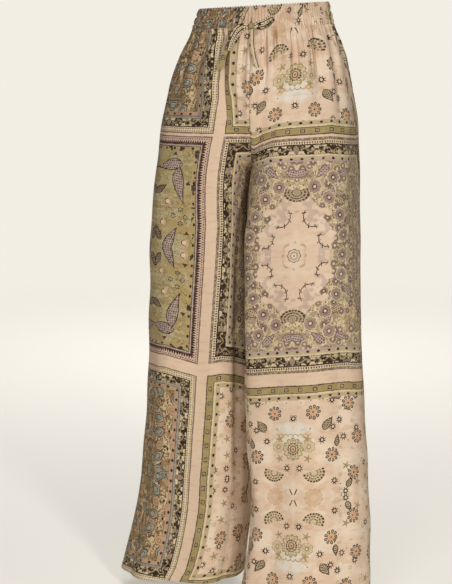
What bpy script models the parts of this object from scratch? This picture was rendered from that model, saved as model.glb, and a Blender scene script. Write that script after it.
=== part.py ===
"""Palazzo pants, worn shape: four leg panels, a gathered elastic waistband and a tied drawstring.

Metres, +Z up, the front faces -Y and the wearer's left is +X. The origin is the middle of the
waist, halfway up the waistband. Run with: blender --background --python part.py
"""

from collections import namedtuple

import bmesh
import bpy
import numpy as np

# ---------------------------------------------------------------- driving sizes
BAND_TOP = 0.021  # the waistband's upper edge
BAND_BOTTOM = -0.021  # the waist seam
CROTCH = -0.275  # where the four leg panels meet
HEM = -1.040
SEAM_GAP = 0.0003  # between two pieces that are sewn together
CLOTH = 0.0015  # wall of a leg panel
BAND_WALL = 0.0013  # wall of the waistband at its thinnest, in a groove between two gathers
SPLIT_START = -0.105  # height at which the middle seam starts to turn in to the crotch
LEG_START, LEG_END = -0.050, -0.400  # between these heights the hips' plan becomes a leg's
HIP_TILT = ((-0.240, 0.0), (BAND_BOTTOM, 0.036), (BAND_TOP, 0.056))  # height, rise towards +X a metre
SQUARENESS = ((HEM, 0.035), (-0.600, 0.045), (-0.350, 0.075))  # height, how full a leg's corners are
SEAM_LEAN = ((CROTCH, -0.018), (SPLIT_START, -0.006))  # height, x of the middle seam in the legs' plan

GATHERS = 96  # small gathers round the waistband
GATHER_DEPTH = 0.0011
BAND_TIERS = 3  # puffed rows between the stitched lines of the waistband
TIER_PUFF = 0.0012
FOLDS_A_LEG = 12  # folds that fall from the waist seam, for each leg's half of the waist
FOLD_DEPTH = 0.0060

COLUMNS = 26  # of points across a panel
BAND_POINTS_A_GATHER = 4

RIBBON_WIDTH = 0.0085
RIBBON = 0.0012  # thickness of the drawstring
KNOT_SIZE = (0.0110, 0.0075, 0.0100)

# ---------------------------------------------------------------- tables of sections
Torso = namedtuple("Torso", "z left_x right_x front back")
TORSO = (
    Torso(0.021, 0.1170, -0.1190, 0.088, 0.086),
    Torso(0.000, 0.1220, -0.1270, 0.093, 0.092),
    Torso(-0.021, 0.1300, -0.1350, 0.099, 0.100),
    Torso(-0.056, 0.1430, -0.1500, 0.109, 0.114),
    Torso(-0.105, 0.1530, -0.1680, 0.117, 0.128),
    Torso(-0.160, 0.1620, -0.1800, 0.122, 0.137),
    Torso(-0.215, 0.1700, -0.1900, 0.124, 0.139),
    Torso(-0.275, 0.1750, -0.1960, 0.124, 0.134),
)

Leg = namedtuple("Leg", "z outer_x inner_x middle_y front back")
LEGS = {
    "left": (
        Leg(-0.105, 0.1760, -0.0059, 0.000, 0.116, 0.120),
        Leg(-0.190, 0.1775, -0.0119, 0.000, 0.120, 0.120),
        Leg(-0.275, 0.1750, -0.01785, -0.004, 0.122, 0.112),
        Leg(-0.350, 0.1800, -0.0220, -0.014, 0.112, 0.102),
        Leg(-0.500, 0.1880, -0.0230, -0.034, 0.096, 0.092),
        Leg(-0.750, 0.2070, -0.0120, -0.072, 0.093, 0.093),
        Leg(-0.900, 0.2200, 0.0030, -0.092, 0.096, 0.096),
        Leg(-1.040, 0.2260, -0.0110, -0.112, 0.102, 0.102),
    ),
    "right": (
        Leg(-0.105, -0.1850, -0.0061, 0.000, 0.116, 0.120),
        Leg(-0.190, -0.1900, -0.0121, 0.000, 0.120, 0.120),
        Leg(-0.275, -0.1960, -0.01815, 0.000, 0.116, 0.112),
        Leg(-0.350, -0.2050, -0.0270, 0.004, 0.104, 0.102),
        Leg(-0.500, -0.2140, -0.0290, 0.006, 0.094, 0.094),
        Leg(-0.750, -0.2200, -0.0230, -0.004, 0.092, 0.094),
        Leg(-0.900, -0.2310, -0.0200, -0.018, 0.096, 0.096),
        Leg(-1.040, -0.2600, -0.0290, -0.036, 0.103, 0.103),
    ),
}

# Long soft folds: where each lies round the leg (0 side seam, 0.25 front, 0.5 inseam, 0.75 back)
# at its upper and lower end, the heights of those ends, its width round the leg and its depth.
Fold = namedtuple("Fold", "top_s low_s top_z low_z width depth")
FOLDS = {
    "left": (
        Fold(0.440, 0.425, -0.230, -0.990, 0.022, -0.0100),
        Fold(0.385, 0.380, -0.240, -1.060, 0.030, 0.0050),
        Fold(0.300, 0.315, -0.300, -1.060, 0.032, -0.0055),
        Fold(0.215, 0.230, -0.330, -1.060, 0.036, 0.0055),
        Fold(0.120, 0.140, -0.240, -1.060, 0.032, -0.0060),
        Fold(0.030, 0.045, -0.400, -1.060, 0.034, 0.0050),
        Fold(0.560, 0.580, -0.300, -1.060, 0.030, -0.0070),
        Fold(0.660, 0.665, -0.220, -1.060, 0.035, 0.0075),
        Fold(0.745, 0.750, -0.240, -1.060, 0.030, -0.0085),
        Fold(0.830, 0.840, -0.260, -1.060, 0.035, 0.0075),
        Fold(0.920, 0.930, -0.330, -1.060, 0.030, -0.0065),
    ),
    "right": (
        Fold(0.425, 0.400, -0.230, -1.060, 0.026, -0.0075),
        Fold(0.335, 0.330, -0.260, -1.060, 0.032, 0.0050),
        Fold(0.275, 0.250, -0.380, -1.060, 0.030, -0.0060),
        Fold(0.190, 0.175, -0.340, -1.060, 0.034, 0.0055),
        Fold(0.110, 0.115, -0.460, -1.060, 0.030, -0.0060),
        Fold(0.020, 0.035, -0.360, -1.060, 0.036, 0.0050),
        Fold(0.590, 0.600, -0.300, -1.060, 0.030, -0.0080),
        Fold(0.680, 0.690, -0.240, -1.060, 0.034, 0.0075),
        Fold(0.770, 0.765, -0.230, -1.060, 0.030, -0.0085),
        Fold(0.850, 0.845, -0.280, -1.060, 0.034, 0.0070),
        Fold(0.930, 0.925, -0.350, -1.060, 0.030, -0.0060),
    ),
}

# Heights of a panel's rows of points, closer where the folds and the crotch curve need it.
ROW_HEIGHTS = (
    BAND_BOTTOM - SEAM_GAP,
    *(-0.030, -0.043, -0.060, -0.082, -0.108, -0.138, -0.170, -0.204, -0.234, -0.258),
    CROTCH,
    *(-0.300, -0.340, -0.420, -0.520, -0.640, -0.760, -0.860, -0.940, -1.000),
    HEM,
)

COLOURS = {  # base colour, roughness
    "cream_print": ((0.66, 0.50, 0.37), 0.75),
    "olive_print": ((0.36, 0.30, 0.17), 0.75),
    "casing": ((0.52, 0.42, 0.29), 0.78),
    "drawstring": ((0.50, 0.44, 0.28), 0.70),
}


# ---------------------------------------------------------------- curves through the tables
def smooth(low, high, x):
    """0 below low, 1 above high, with a soft start and end between them."""
    t = np.clip((x - low) / (high - low), 0, 1)
    return t * t * (3 - 2 * t)


def along(rows, column, z):
    """A column's value at height z, on a smooth curve through the table's rows."""
    heights = np.array([row.z for row in rows])[::-1]
    values = np.array([getattr(row, column) for row in rows])[::-1]
    slopes = np.gradient(values, heights)
    z = np.clip(z, heights[0], heights[-1])
    k = np.clip(np.searchsorted(heights, z) - 1, 0, len(heights) - 2)
    step = heights[k + 1] - heights[k]
    t = (z - heights[k]) / step
    return (
        values[k] * (1 + 2 * t) * (1 - t) ** 2
        + slopes[k] * step * t * (1 - t) ** 2
        + values[k + 1] * t * t * (3 - 2 * t)
        + slopes[k + 1] * step * t * t * (t - 1)
    )


# ---------------------------------------------------------------- the worn form
def side_of(leg):
    return 1.0 if leg == "left" else -1.0


def torso_point(leg, s, z):
    """The waist and hips as a half oval: s runs 0 to 0.5 over the front and 0.5 to 1 over the back."""
    front = s <= 0.5
    angle = np.pi * np.where(front, s, 1 - s)
    depth = np.where(front, -along(TORSO, "front", z), along(TORSO, "back", z))
    return along(TORSO, f"{leg}_x", z) * np.cos(angle), depth * np.sin(angle)


def seam_x(z):
    heights, places = zip(*SEAM_LEAN)
    return np.interp(z, heights, places)


def leg_point(leg, s, z):
    """A leg as an oval with swollen corners, between its outer, inner, front and back limits."""
    rows, a = LEGS[leg], 2 * np.pi * s
    heights, corners = zip(*SQUARENESS)
    k = np.interp(z, heights, corners)
    across = (np.cos(a) - k * np.cos(3 * a)) / (1 - k)
    deep = (np.sin(a) + k * np.sin(3 * a)) / (1 - k)
    outer = along(rows, "outer_x", z)
    inner = np.where(z < CROTCH, along(rows, "inner_x", z), seam_x(z) + side_of(leg) * SEAM_GAP / 2)
    depth = np.where(deep > 0, along(rows, "front", z), along(rows, "back", z))
    return (outer + inner) / 2 + across * (outer - inner) / 2, along(rows, "middle_y", z) - deep * depth


def waist_folds(leg, s, z):
    """Folds that start at the waist seam, swell below it and die out over the hips."""
    side = side_of(leg)
    wander = 0.24 * np.sin(2 * np.pi * (2 * s + 0.15 * side)) + 0.08 * np.sin(2 * np.pi * (5 * s + 0.3 * side))
    phase = 2 * np.pi * (FOLDS_A_LEG * s + wander)
    uneven = 0.75 + 0.25 * np.sin(2 * np.pi * (3 * s + 0.4 + 0.2 * side))
    fall = BAND_BOTTOM - z
    strength = (0.18 + 0.82 * smooth(0.0, 0.030, fall)) * (1 - smooth(0.035, 0.230, fall)) ** 1.2
    centre = smooth(0.0, 0.018, np.abs(s - 0.5))
    return FOLD_DEPTH * strength * uneven * centre * np.cos(phase)


def long_folds(s, z, folds):
    """The sum of the table's soft ridges and grooves, each a bell curve round the leg."""
    total = 0.0
    for fold in folds:
        t = np.clip((fold.top_z - z) / (fold.top_z - fold.low_z), 0, 1)
        middle = fold.top_s + (fold.low_s - fold.top_s) * t
        away = (s - middle + 0.5) % 1.0 - 0.5
        grows = smooth(0.0, 0.35, t) * (0.6 + 0.4 * t) * (1 - smooth(0.97, 1.0, t) * (fold.low_z > HEM))
        total = total + fold.depth * grows * np.exp(-((away / fold.width) ** 2))
    return total


def plain_form(leg, s, z):
    """The plan at height z without folds: half of the waist's oval turns into a leg's oval.

    At the middle seam it turns along a quarter circle, which is the crotch curve.
    """
    t = np.clip((SPLIT_START - z) / (SPLIT_START - CROTCH), 0, 1)
    crotch_curve = 1 - np.sqrt(np.maximum(1 - t * t, 0))
    near_seam = smooth(0.41, 0.5, np.minimum(s, 1 - s))
    share = smooth(-LEG_START, -LEG_END, -z) * (1 - near_seam) + near_seam * crotch_curve
    tx, ty = torso_point(leg, s, z)
    lx, ly = leg_point(leg, s, z)
    return (1 - share) * tx + share * lx, (1 - share) * ty + share * ly


def out_of(leg, s, z):
    """The level direction that points out of the plain form, from its slope on that side."""
    step = 0.0015
    low = np.where(s <= 0.5, s - step, np.maximum(s - step, 0.5 + 1e-6))
    high = np.where(s <= 0.5, np.minimum(s + step, 0.5), s + step)
    ax, ay = plain_form(leg, low % 1.0, z)
    bx, by = plain_form(leg, high % 1.0, z)
    nx, ny = (ay - by) * side_of(leg), (bx - ax) * side_of(leg)
    size = np.hypot(nx, ny)
    return nx / size, ny / size


def hip_tilt(x, z):
    heights, rises = zip(*HIP_TILT)
    return x * np.interp(z, heights, rises)


def leg_surface(leg, s, z):
    """Points of a leg's outer face with all its folds. Above the crotch none crosses the middle seam."""
    x, y = plain_form(leg, s, z)
    nx, ny = out_of(leg, s, z)
    out = waist_folds(leg, s, z) + long_folds(s, z, FOLDS[leg])
    limit = plain_form(leg, 0.5 + 0 * s, z)[0] + side_of(leg) * SEAM_GAP / 2
    past = np.where(z >= CROTCH, np.maximum(side_of(leg) * (limit - x - nx * out), 0), 0)
    x, y = x + nx * out + side_of(leg) * past, y + ny * out
    return np.stack([x, y, z + hip_tilt(x, z)], axis=-1)


def inner_face(outer, side, facing):
    """A panel's sheet moved inward by the wall's thickness, square to its slope, with level ends.

    side is 1 on the left leg and facing is -1 on a front panel. No edge leans over its seam.
    """
    across = np.gradient(outer, axis=1)
    down = np.gradient(outer, axis=0)
    normal = -side * facing * np.cross(across, down)
    normal /= np.linalg.norm(normal, axis=-1)[..., None]
    normal[[0, -1], :, 2] = 0.0
    inner = outer - CLOTH * normal
    below = outer[:, -1, 2] < CROTCH + SEAM_GAP
    for column, rows, axis, way in ((-1, ~below, 0, side), (-1, below, 1, facing), (0, below | True, 1, facing)):
        edge = way * np.maximum(way * inner[rows, column, axis], way * outer[rows, column, axis])
        inner[rows, column, axis] = edge
    return inner


def band_surface(s, z, gathered, inward=0.0):
    """The waistband as a whole ring: s runs 0 to 1 from the left side over the front."""
    angle = 2 * np.pi * s
    depth = np.where(s < 0.5, along(TORSO, "front", z), along(TORSO, "back", z))
    width = np.where(np.cos(angle) > 0, along(TORSO, "left_x", z), -along(TORSO, "right_x", z))
    x, y = width * np.cos(angle), -depth * np.sin(angle)
    nx, ny = np.cos(angle) / width, -np.sin(angle) / depth
    size = np.hypot(nx, ny)
    tier = np.abs(np.sin(np.pi * BAND_TIERS * (BAND_TOP - z) / (BAND_TOP - BAND_BOTTOM)))
    uneven = 0.75 + 0.25 * np.sin(2 * np.pi * (11 * s + 0.2))
    wave = GATHER_DEPTH * uneven * np.cos(2 * np.pi * GATHERS * s)
    out = gathered * (wave + TIER_PUFF * tier) - inward
    x, y = x + nx / size * out, y + ny / size * out
    return np.stack([x, y, z + hip_tilt(x, z)], axis=-1)


# ---------------------------------------------------------------- meshes
def add_object(name, vertices, faces, colour, collection):
    mesh = bpy.data.meshes.new(name)
    mesh.from_pydata([tuple(v) for v in vertices], [], faces)
    thing = bpy.data.objects.new(name, mesh)
    collection.objects.link(thing)
    edit = bmesh.new()
    edit.from_mesh(mesh)
    bmesh.ops.recalc_face_normals(edit, faces=edit.faces)
    edit.to_mesh(mesh)
    edit.free()
    mesh.shade_smooth()
    mesh.set_sharp_from_angle(angle=np.radians(50))
    mesh.materials.append(material(colour))
    return thing


def material(name):
    found = bpy.data.materials.get(name)
    if found:
        return found
    colour, roughness = COLOURS[name]
    made = bpy.data.materials.new(name)
    made.use_nodes = True
    shader = made.node_tree.nodes["Principled BSDF"]
    shader.inputs["Base Color"].default_value = (*colour, 1.0)
    shader.inputs["Roughness"].default_value = roughness
    shader.inputs["Metallic"].default_value = 0.0
    return made


def wall(name, outer, inner, ring, colour, collection):
    """A closed wall between an outer and an inner sheet of rows of points.

    The inner sheet of a ring may have fewer rows, since it joins the outer one only at its ends.
    """
    columns = outer.shape[1]
    last = columns if ring else columns - 1
    shift = outer.shape[0] * columns
    faces = []
    for start, rows in ((0, outer.shape[0]), (shift, inner.shape[0])):
        for i in range(rows - 1):
            for j in range(last):
                a, b = start + i * columns, start + (i + 1) * columns
                k = (j + 1) % columns
                faces.append((a + j, a + k, b + k, b + j))
    for j in range(last):
        k = (j + 1) % columns
        for a, b in ((0, shift), (shift - columns, shift + (inner.shape[0] - 1) * columns)):
            faces.append((a + j, a + k, b + k, b + j))
    if not ring:
        for i in range(outer.shape[0] - 1):
            for j in (0, columns - 1):
                a, b = i * columns + j, (i + 1) * columns + j
                faces.append((a, b, b + shift, a + shift))
    vertices = np.concatenate([outer.reshape(-1, 3), inner.reshape(-1, 3)])
    return add_object(name, vertices, faces, colour, collection)


def panel(name, leg, first_s, last_s, colour, collection):
    """One leg panel between two seams round the leg, from the waist seam to the hem."""
    s, z = np.meshgrid(np.linspace(first_s, last_s, COLUMNS + 1), ROW_HEIGHTS)
    step = 1e-4 * np.sign(last_s - first_s)
    for column, inwards in ((0, step), (-1, -step)):
        edge, heights = s[:, column], z[:, column]
        here, near = (np.stack(plain_form(leg, edge + k * inwards, heights)) for k in (0, 1))
        s[:, column] += inwards * (SEAM_GAP / 2) / np.linalg.norm(near - here, axis=0)
    outer = leg_surface(leg, s, z)
    inner = inner_face(outer, side_of(leg), -1.0 if first_s < last_s else 1.0)
    return wall(name, outer, inner, False, colour, collection)


def waistband(collection):
    """A ring with gathers and puffed tiers outside and a plain inside."""
    count = GATHERS * BAND_POINTS_A_GATHER
    heights = BAND_TOP - (BAND_TOP - BAND_BOTTOM) * np.arange(2 * BAND_TIERS + 1) / (2 * BAND_TIERS)
    s, z = np.meshgrid(np.arange(count) / count, heights)
    outer = band_surface(s, z, 1.0)
    ends = [0, -1]
    inner = band_surface(s[ends], z[ends], 0.0, GATHER_DEPTH + BAND_WALL)
    return wall("waistband", outer, inner, True, "casing", collection)


# ---------------------------------------------------------------- drawstring
def front_point(x, z, clear):
    """A point that far in front of the waistband or of the panels' highest folds, near the middle."""
    width = np.where(x > 0, along(TORSO, "left_x", z), -along(TORSO, "right_x", z))
    y = -along(TORSO, "front", z) * np.sqrt(1 - (x / width) ** 2)
    below = smooth(0.0, 0.030, BAND_BOTTOM - z)
    swell = (GATHER_DEPTH + TIER_PUFF) * (1 - below) + FOLD_DEPTH * below
    return np.stack([x, y - swell - clear, z + hip_tilt(x, z)], axis=-1)


def ribbon(name, middle, outward, collection, slant=0.0):
    """A flat strip along a line of points; outward is the way its face looks at each of them.

    slant is how much further one edge runs than the other at the cut end.
    """
    ahead = np.gradient(middle, axis=0)
    ahead /= np.linalg.norm(ahead, axis=1)[:, None]
    across = np.cross(ahead, outward)
    across /= np.linalg.norm(across, axis=1)[:, None]
    face = np.cross(across, ahead)
    edges = [middle + sign * across * RIBBON_WIDTH / 2 for sign in (-1, 1)]
    edges[0][-1] += ahead[-1] * slant / 2
    edges[1][-1] -= ahead[-1] * slant / 2
    outer = np.stack([edge + face * RIBBON / 2 for edge in edges], axis=1)
    inner = np.stack([edge - face * RIBBON / 2 for edge in edges], axis=1)
    return wall(name, outer, inner, False, "drawstring", collection)


Loop = namedtuple("Loop", "name end_x end_z bulge")
LOOPS = (
    Loop("bow_loop_left", -0.040, -0.056, 0.0045),
    Loop("bow_loop_right", 0.037, -0.002, 0.0045),
)
KNOT_Z = -0.0145
KNOT_FOOT = KNOT_Z - KNOT_SIZE[2] / 2 - 2 * SEAM_GAP
Tail = namedtuple("Tail", "name start_x start_z bend_x bend_z end_x end_z slant")
TAILS = (
    Tail("bow_tail_left", -KNOT_SIZE[0] / 2 - SEAM_GAP, KNOT_Z, -0.036, KNOT_Z, -0.054, -0.090, -0.007),
    Tail("bow_tail_right", 0.0010, KNOT_FOOT, 0.001, -0.050, 0.014, -0.086, 0.007),
)
LOOP_POINTS = 22
TAIL_POINTS = 12
LAYER = 0.0022  # each layer of the bow lies this much in front of the one below it


def curve_between(start, bend, end, t):
    """A quadratic curve that leaves start towards bend and arrives at end."""
    return (1 - t) ** 2 * start + 2 * t * (1 - t) * bend + t * t * end


def bow_loop(loop, collection):
    """A loop of ribbon: it runs out in front, turns at its end and comes back behind itself."""
    turn = np.linspace(0.075, 0.925, LOOP_POINTS)
    reach = (np.cos(2 * np.pi * turn[0]) - np.cos(2 * np.pi * turn)) / (np.cos(2 * np.pi * turn[0]) + 1)
    start_x = np.sign(loop.end_x) * (KNOT_SIZE[0] / 2 + SEAM_GAP)
    x = curve_between(start_x, 0.7 * loop.end_x, loop.end_x, reach)
    z = curve_between(KNOT_Z, KNOT_Z, loop.end_z, reach)
    middle_clear = 2.25 * LAYER + 0.65 * loop.bulge * np.sin(np.pi * np.clip(reach, 0, 1))
    middle = front_point(x, z, middle_clear + loop.bulge * np.sin(2 * np.pi * turn))
    outward = np.tile([0.0, -1.0, 0.0], (LOOP_POINTS, 1))
    ahead = np.gradient(middle, axis=0)
    across = np.cross(np.array([np.gradient(x), 0 * x, np.gradient(z)]).T, outward)
    across *= np.sign(across @ across[0])[:, None]
    across[reach > 0.97] = across[np.argmin(np.abs(reach - 0.97))]
    face = np.cross(across, ahead)
    face *= np.sign(face[0] @ outward[0])
    return ribbon(loop.name, middle, face, collection)


def bow_tail(tail, collection):
    """A free end of the ribbon, hanging close to the folds below the waist seam."""
    t = np.linspace(0, 1, TAIL_POINTS)
    x = curve_between(tail.start_x, tail.bend_x, tail.end_x, t)
    z = curve_between(tail.start_z, tail.bend_z, tail.end_z, t)
    middle = front_point(x, z, LAYER * (0.6 + 0.2 * t))
    outward = np.tile([0.0, -1.0, 0.0], (TAIL_POINTS, 1))
    return ribbon(tail.name, middle, outward, collection, tail.slant)


def bow_knot(collection):
    """The knot: a small rounded block on the lower edge of the waistband."""
    place = front_point(0.0, KNOT_Z, SEAM_GAP + KNOT_SIZE[1] / 2)
    bpy.ops.mesh.primitive_cube_add(size=1.0, location=tuple(place))
    knot = bpy.context.active_object
    knot.name = knot.data.name = "bow_knot"
    knot.scale = KNOT_SIZE
    bpy.ops.object.transform_apply(location=False, rotation=False, scale=True)
    bevel = knot.modifiers.new("soft edges", "BEVEL")
    bevel.width = 0.0026
    bevel.segments = 3
    knot.data.materials.append(material("drawstring"))
    for owner in list(knot.users_collection):
        owner.objects.unlink(knot)
    collection.objects.link(knot)
    return knot


# ---------------------------------------------------------------- the garment
def main():
    for thing in list(bpy.data.objects):
        bpy.data.objects.remove(thing, do_unlink=True)
    pants = bpy.data.collections.new("palazzo_pants")
    bpy.context.scene.collection.children.link(pants)
    for leg, colour in (("left", "cream_print"), ("right", "olive_print")):
        panel(f"front_{leg}", leg, 0.0, 0.5, colour, pants)
        panel(f"back_{leg}", leg, 1.0, 0.5, colour, pants)
    waistband(pants)
    bow_knot(pants)
    for loop in LOOPS:
        bow_loop(loop, pants)
    for tail in TAILS:
        bow_tail(tail, pants)


main()
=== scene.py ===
"""Palazzo pants in soft printed cloth: four leg panels, a gathered waistband and a tied drawstring.

Metres, +Z up, the front faces -Y and the wearer's left is +X. The origin is the middle of the waist.
"""

from collections import namedtuple
from types import SimpleNamespace

import bmesh
import bpy
import numpy as np
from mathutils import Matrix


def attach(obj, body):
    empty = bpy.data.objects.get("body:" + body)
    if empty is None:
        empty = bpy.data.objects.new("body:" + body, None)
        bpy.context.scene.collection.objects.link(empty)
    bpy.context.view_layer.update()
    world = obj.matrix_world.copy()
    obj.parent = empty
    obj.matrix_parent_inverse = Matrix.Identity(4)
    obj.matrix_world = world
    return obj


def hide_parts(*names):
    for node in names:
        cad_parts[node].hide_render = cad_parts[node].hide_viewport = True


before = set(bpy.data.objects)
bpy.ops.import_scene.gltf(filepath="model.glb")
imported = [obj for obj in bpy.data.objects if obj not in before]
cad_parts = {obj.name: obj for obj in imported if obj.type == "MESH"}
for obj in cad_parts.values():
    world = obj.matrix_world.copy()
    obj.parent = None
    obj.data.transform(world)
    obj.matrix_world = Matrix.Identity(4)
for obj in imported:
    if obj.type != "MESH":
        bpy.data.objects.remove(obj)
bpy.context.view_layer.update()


# ---------------------------------------------------------------- camera
# It stands 3.3 m in front of the waist, level with it and turned a little to the wearer's left,
# and looks down along the legs through a long lens.
CAMERA_TURN, CAMERA_PITCH = np.radians(14.0), np.radians(9.1)
CAMERA_DISTANCE, CAMERA_ASIDE, CAMERA_HEIGHT = 3.3, 0.07, 0.02
SENSOR_MM, LENS_MM = 36.0, 110.0

rightwards = np.array([np.cos(CAMERA_TURN), np.sin(CAMERA_TURN), 0.0])
away = np.array([-np.sin(CAMERA_TURN), np.cos(CAMERA_TURN), 0.0])
camera = bpy.data.objects.new("camera", bpy.data.cameras.new("camera"))
camera.data.sensor_width = SENSOR_MM
camera.data.lens = LENS_MM
camera.location = -CAMERA_ASIDE * rightwards - CAMERA_DISTANCE * away + np.array([0.0, 0.0, CAMERA_HEIGHT])
camera.rotation_euler = (np.pi / 2 - CAMERA_PITCH, 0.0, CAMERA_TURN)
bpy.context.scene.collection.objects.link(camera)
bpy.context.scene.camera = camera


# ---------------------------------------------------------------- leg panels: the hanging form
# Each leg is a front and a back panel of thin viscose, sewn together at the side and the inseam.
# The cloth is gathered into the waist seam, falls over the hips in soft folds and hangs wide.
BAND_TOP = 0.021
BAND_BOTTOM = -0.021
WAIST_SEAM = -0.0165
CROTCH = -0.275
HEM = -1.040
HEM_DEPTH = 0.011
SEAM_GAP = 0.0003
SPLIT_START = -0.105  # from here down the middle seam curves back, as far as the crotch
LEG_START, LEG_END = -0.050, -0.400  # between them the waist's oval turns into the leg's
HIP_TILT = ((-0.240, 0.0), (BAND_BOTTOM, 0.036), (BAND_TOP, 0.056))  # height, rise for each metre across
SQUARENESS = ((HEM, 0.035), (-0.600, 0.045), (-0.350, 0.075))  # height, swell of the leg oval's corners
SEAM_LEAN = ((CROTCH, -0.018), (SPLIT_START, -0.006))  # height, x of the middle seam
FOLDS_A_LEG = 12
FOLD_DEPTH = 0.0060
PLEATS_A_LEG = 25
PLEAT_DEPTH = 0.0088
ALLOWANCE_INSET = 0.0016
FRONT_INSEAM, BACK_INSEAM = 0.5, 0.500001  # one seam, as it lies on the front and on the back panel

# Level outlines of the hips, from the waist down: x at the left and the right, depth in front and behind.
Torso = namedtuple("Torso", "z left_x right_x front back")
TORSO = (
    Torso(0.021, 0.1170, -0.1190, 0.088, 0.086),
    Torso(0.000, 0.1220, -0.1270, 0.093, 0.092),
    Torso(-0.021, 0.1300, -0.1350, 0.099, 0.100),
    Torso(-0.056, 0.1430, -0.1500, 0.109, 0.114),
    Torso(-0.105, 0.1530, -0.1680, 0.117, 0.128),
    Torso(-0.160, 0.1620, -0.1800, 0.122, 0.137),
    Torso(-0.215, 0.1700, -0.1900, 0.124, 0.139),
    Torso(-0.275, 0.1750, -0.1960, 0.124, 0.134),
)

# Level outlines of each leg: x outside and inside, y of the middle, depth in front and behind it.
Leg = namedtuple("Leg", "z outer_x inner_x middle_y front back")
LEGS = {
    "left": (
        Leg(-0.105, 0.1760, -0.0059, 0.000, 0.116, 0.120),
        Leg(-0.190, 0.1775, -0.0119, 0.000, 0.120, 0.120),
        Leg(-0.275, 0.1750, -0.01785, -0.004, 0.122, 0.112),
        Leg(-0.350, 0.1800, -0.0220, -0.014, 0.112, 0.102),
        Leg(-0.500, 0.1880, -0.0230, -0.034, 0.096, 0.092),
        Leg(-0.750, 0.2070, -0.0120, -0.072, 0.093, 0.093),
        Leg(-0.900, 0.2200, 0.0030, -0.092, 0.096, 0.096),
        Leg(-1.040, 0.2260, -0.0110, -0.112, 0.102, 0.102),
    ),
    "right": (
        Leg(-0.105, -0.1850, -0.0061, 0.000, 0.116, 0.120),
        Leg(-0.190, -0.1900, -0.0121, 0.000, 0.120, 0.120),
        Leg(-0.275, -0.1960, -0.01815, 0.000, 0.116, 0.112),
        Leg(-0.350, -0.2050, -0.0270, 0.004, 0.104, 0.102),
        Leg(-0.500, -0.2140, -0.0290, 0.006, 0.094, 0.094),
        Leg(-0.750, -0.2200, -0.0230, -0.004, 0.092, 0.094),
        Leg(-0.900, -0.2310, -0.0200, -0.018, 0.096, 0.096),
        Leg(-1.040, -0.2600, -0.0290, -0.036, 0.103, 0.103),
    ),
}

# Soft folds: where each lies round the leg (0 side seam, 0.25 front, 0.5 inseam, 0.75 back) at its
# upper and lower end, the heights of those ends, its width round the leg and its depth.
Fold = namedtuple("Fold", "top_s low_s top_z low_z width depth")
FOLDS = {
    "left": (
        Fold(0.440, 0.425, -0.230, -0.990, 0.022, -0.0100),
        Fold(0.385, 0.380, -0.240, -1.060, 0.030, 0.0050),
        Fold(0.300, 0.315, -0.300, -1.060, 0.032, -0.0055),
        Fold(0.215, 0.230, -0.330, -1.060, 0.036, 0.0055),
        Fold(0.120, 0.140, -0.240, -1.060, 0.032, -0.0060),
        Fold(0.030, 0.045, -0.400, -1.060, 0.034, 0.0050),
        Fold(0.560, 0.580, -0.300, -1.060, 0.030, -0.0070),
        Fold(0.660, 0.665, -0.220, -1.060, 0.035, 0.0075),
        Fold(0.745, 0.750, -0.240, -1.060, 0.030, -0.0085),
        Fold(0.830, 0.840, -0.260, -1.060, 0.035, 0.0075),
        Fold(0.920, 0.930, -0.330, -1.060, 0.030, -0.0065),
    ),
    "right": (
        Fold(0.425, 0.400, -0.230, -1.060, 0.026, -0.0075),
        Fold(0.335, 0.330, -0.260, -1.060, 0.032, 0.0050),
        Fold(0.275, 0.250, -0.380, -1.060, 0.030, -0.0060),
        Fold(0.190, 0.175, -0.340, -1.060, 0.034, 0.0055),
        Fold(0.110, 0.115, -0.460, -1.060, 0.030, -0.0060),
        Fold(0.020, 0.035, -0.360, -1.060, 0.036, 0.0050),
        Fold(0.590, 0.600, -0.300, -1.060, 0.030, -0.0080),
        Fold(0.680, 0.690, -0.240, -1.060, 0.034, 0.0075),
        Fold(0.770, 0.765, -0.230, -1.060, 0.030, -0.0085),
        Fold(0.850, 0.845, -0.280, -1.060, 0.034, 0.0070),
        Fold(0.930, 0.925, -0.350, -1.060, 0.030, -0.0060),
    ),
}

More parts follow.
